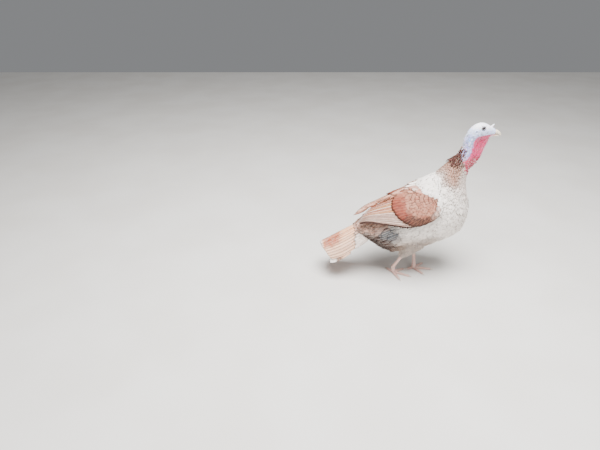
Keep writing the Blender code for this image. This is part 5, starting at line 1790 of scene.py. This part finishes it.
class TURKEY_OT_stage(bpy.types.Operator):
    """Pale floor, soft light and the camera"""
    bl_idname = "turkey.stage"
    bl_label = "Stage"

    def execute(self, context):
        scene = context.scene
        mesh = bpy.data.meshes.new("floor")
        half = 4.0
        mesh.from_pydata([(-half, -half, 0), (half, -half, 0), (half, half, 0), (-half, half, 0)], [],
                         [(0, 1, 2, 3)])
        mesh.materials.append(floor_material())
        new_object("floor", mesh)
        for name, place, power, size in (("overhead", (-0.2, -0.6, 2.6), 250, 1.6),
                                         ("front", (1.2, -2.2, 1.8), 32, 1.6)):
            light = bpy.data.lights.new(name, "AREA")
            light.energy = power
            light.size = size
            lamp = new_object(name, light)
            lamp.location = place
            lamp.rotation_euler = (Vector((0, 0, 0.3)) - Vector(place)).to_track_quat("-Z", "Y").to_euler()
        world = bpy.data.worlds.new("studio")
        world.use_nodes = True
        background = world.node_tree.nodes["Background"]
        background.inputs["Color"].default_value = (0.95, 0.97, 1.0, 1)
        background.inputs["Strength"].default_value = 0.25
        scene.world = world
        camera_data = bpy.data.cameras.new("camera")
        camera_data.lens = 27
        camera_data.sensor_width = 36
        camera = new_object("camera", camera_data)
        camera.location = (AHEAD, -1.53, 1.10)
        camera.rotation_euler = (math.radians(60), 0, 0)
        scene.camera = camera
        return {"FINISHED"}


OPERATORS = (TURKEY_OT_stage, TURKEY_OT_head, TURKEY_OT_eyes, TURKEY_OT_bill, TURKEY_OT_under_skin,
             TURKEY_OT_legs, TURKEY_OT_body_feathers, TURKEY_OT_thigh_feathers, TURKEY_OT_wings,
             TURKEY_OT_tail)


class TURKEY_PT_panel(bpy.types.Panel):
    """Lists the pieces and their settings"""
    bl_idname = "TURKEY_PT_panel"
    bl_label = "Turkey hen"
    bl_space_type = "VIEW_3D"
    bl_region_type = "UI"
    bl_category = "Turkey"

    def draw(self, context):
        for kind in OPERATORS:
            self.layout.operator(kind.bl_idname)
        for group in (context.scene.turkey_sizes, context.scene.turkey_colours):
            for name in group.bl_rna.properties.keys():
                if name not in ("rna_type", "name"):
                    self.layout.prop(group, name)


CLASSES = (TurkeySizes, TurkeyColours, *OPERATORS, TURKEY_PT_panel)


def register():
    for kind in CLASSES:
        bpy.utils.register_class(kind)
    bpy.types.Scene.turkey_sizes = PointerProperty(type=TurkeySizes)
    bpy.types.Scene.turkey_colours = PointerProperty(type=TurkeyColours)


def unregister():
    del bpy.types.Scene.turkey_colours
    del bpy.types.Scene.turkey_sizes
    for kind in reversed(CLASSES):
        bpy.utils.unregister_class(kind)


def main():
    register()
    bpy.ops.turkey.stage()
    bpy.ops.turkey.head()
    bpy.ops.turkey.eyes()
    bpy.ops.turkey.bill()
    bpy.ops.turkey.under_skin()
    bpy.ops.turkey.legs()
    bpy.ops.turkey.body_feathers()
    bpy.ops.turkey.thigh_feathers()
    bpy.ops.turkey.wings()
    bpy.ops.turkey.tail()


if __name__ == "__main__":
    main()
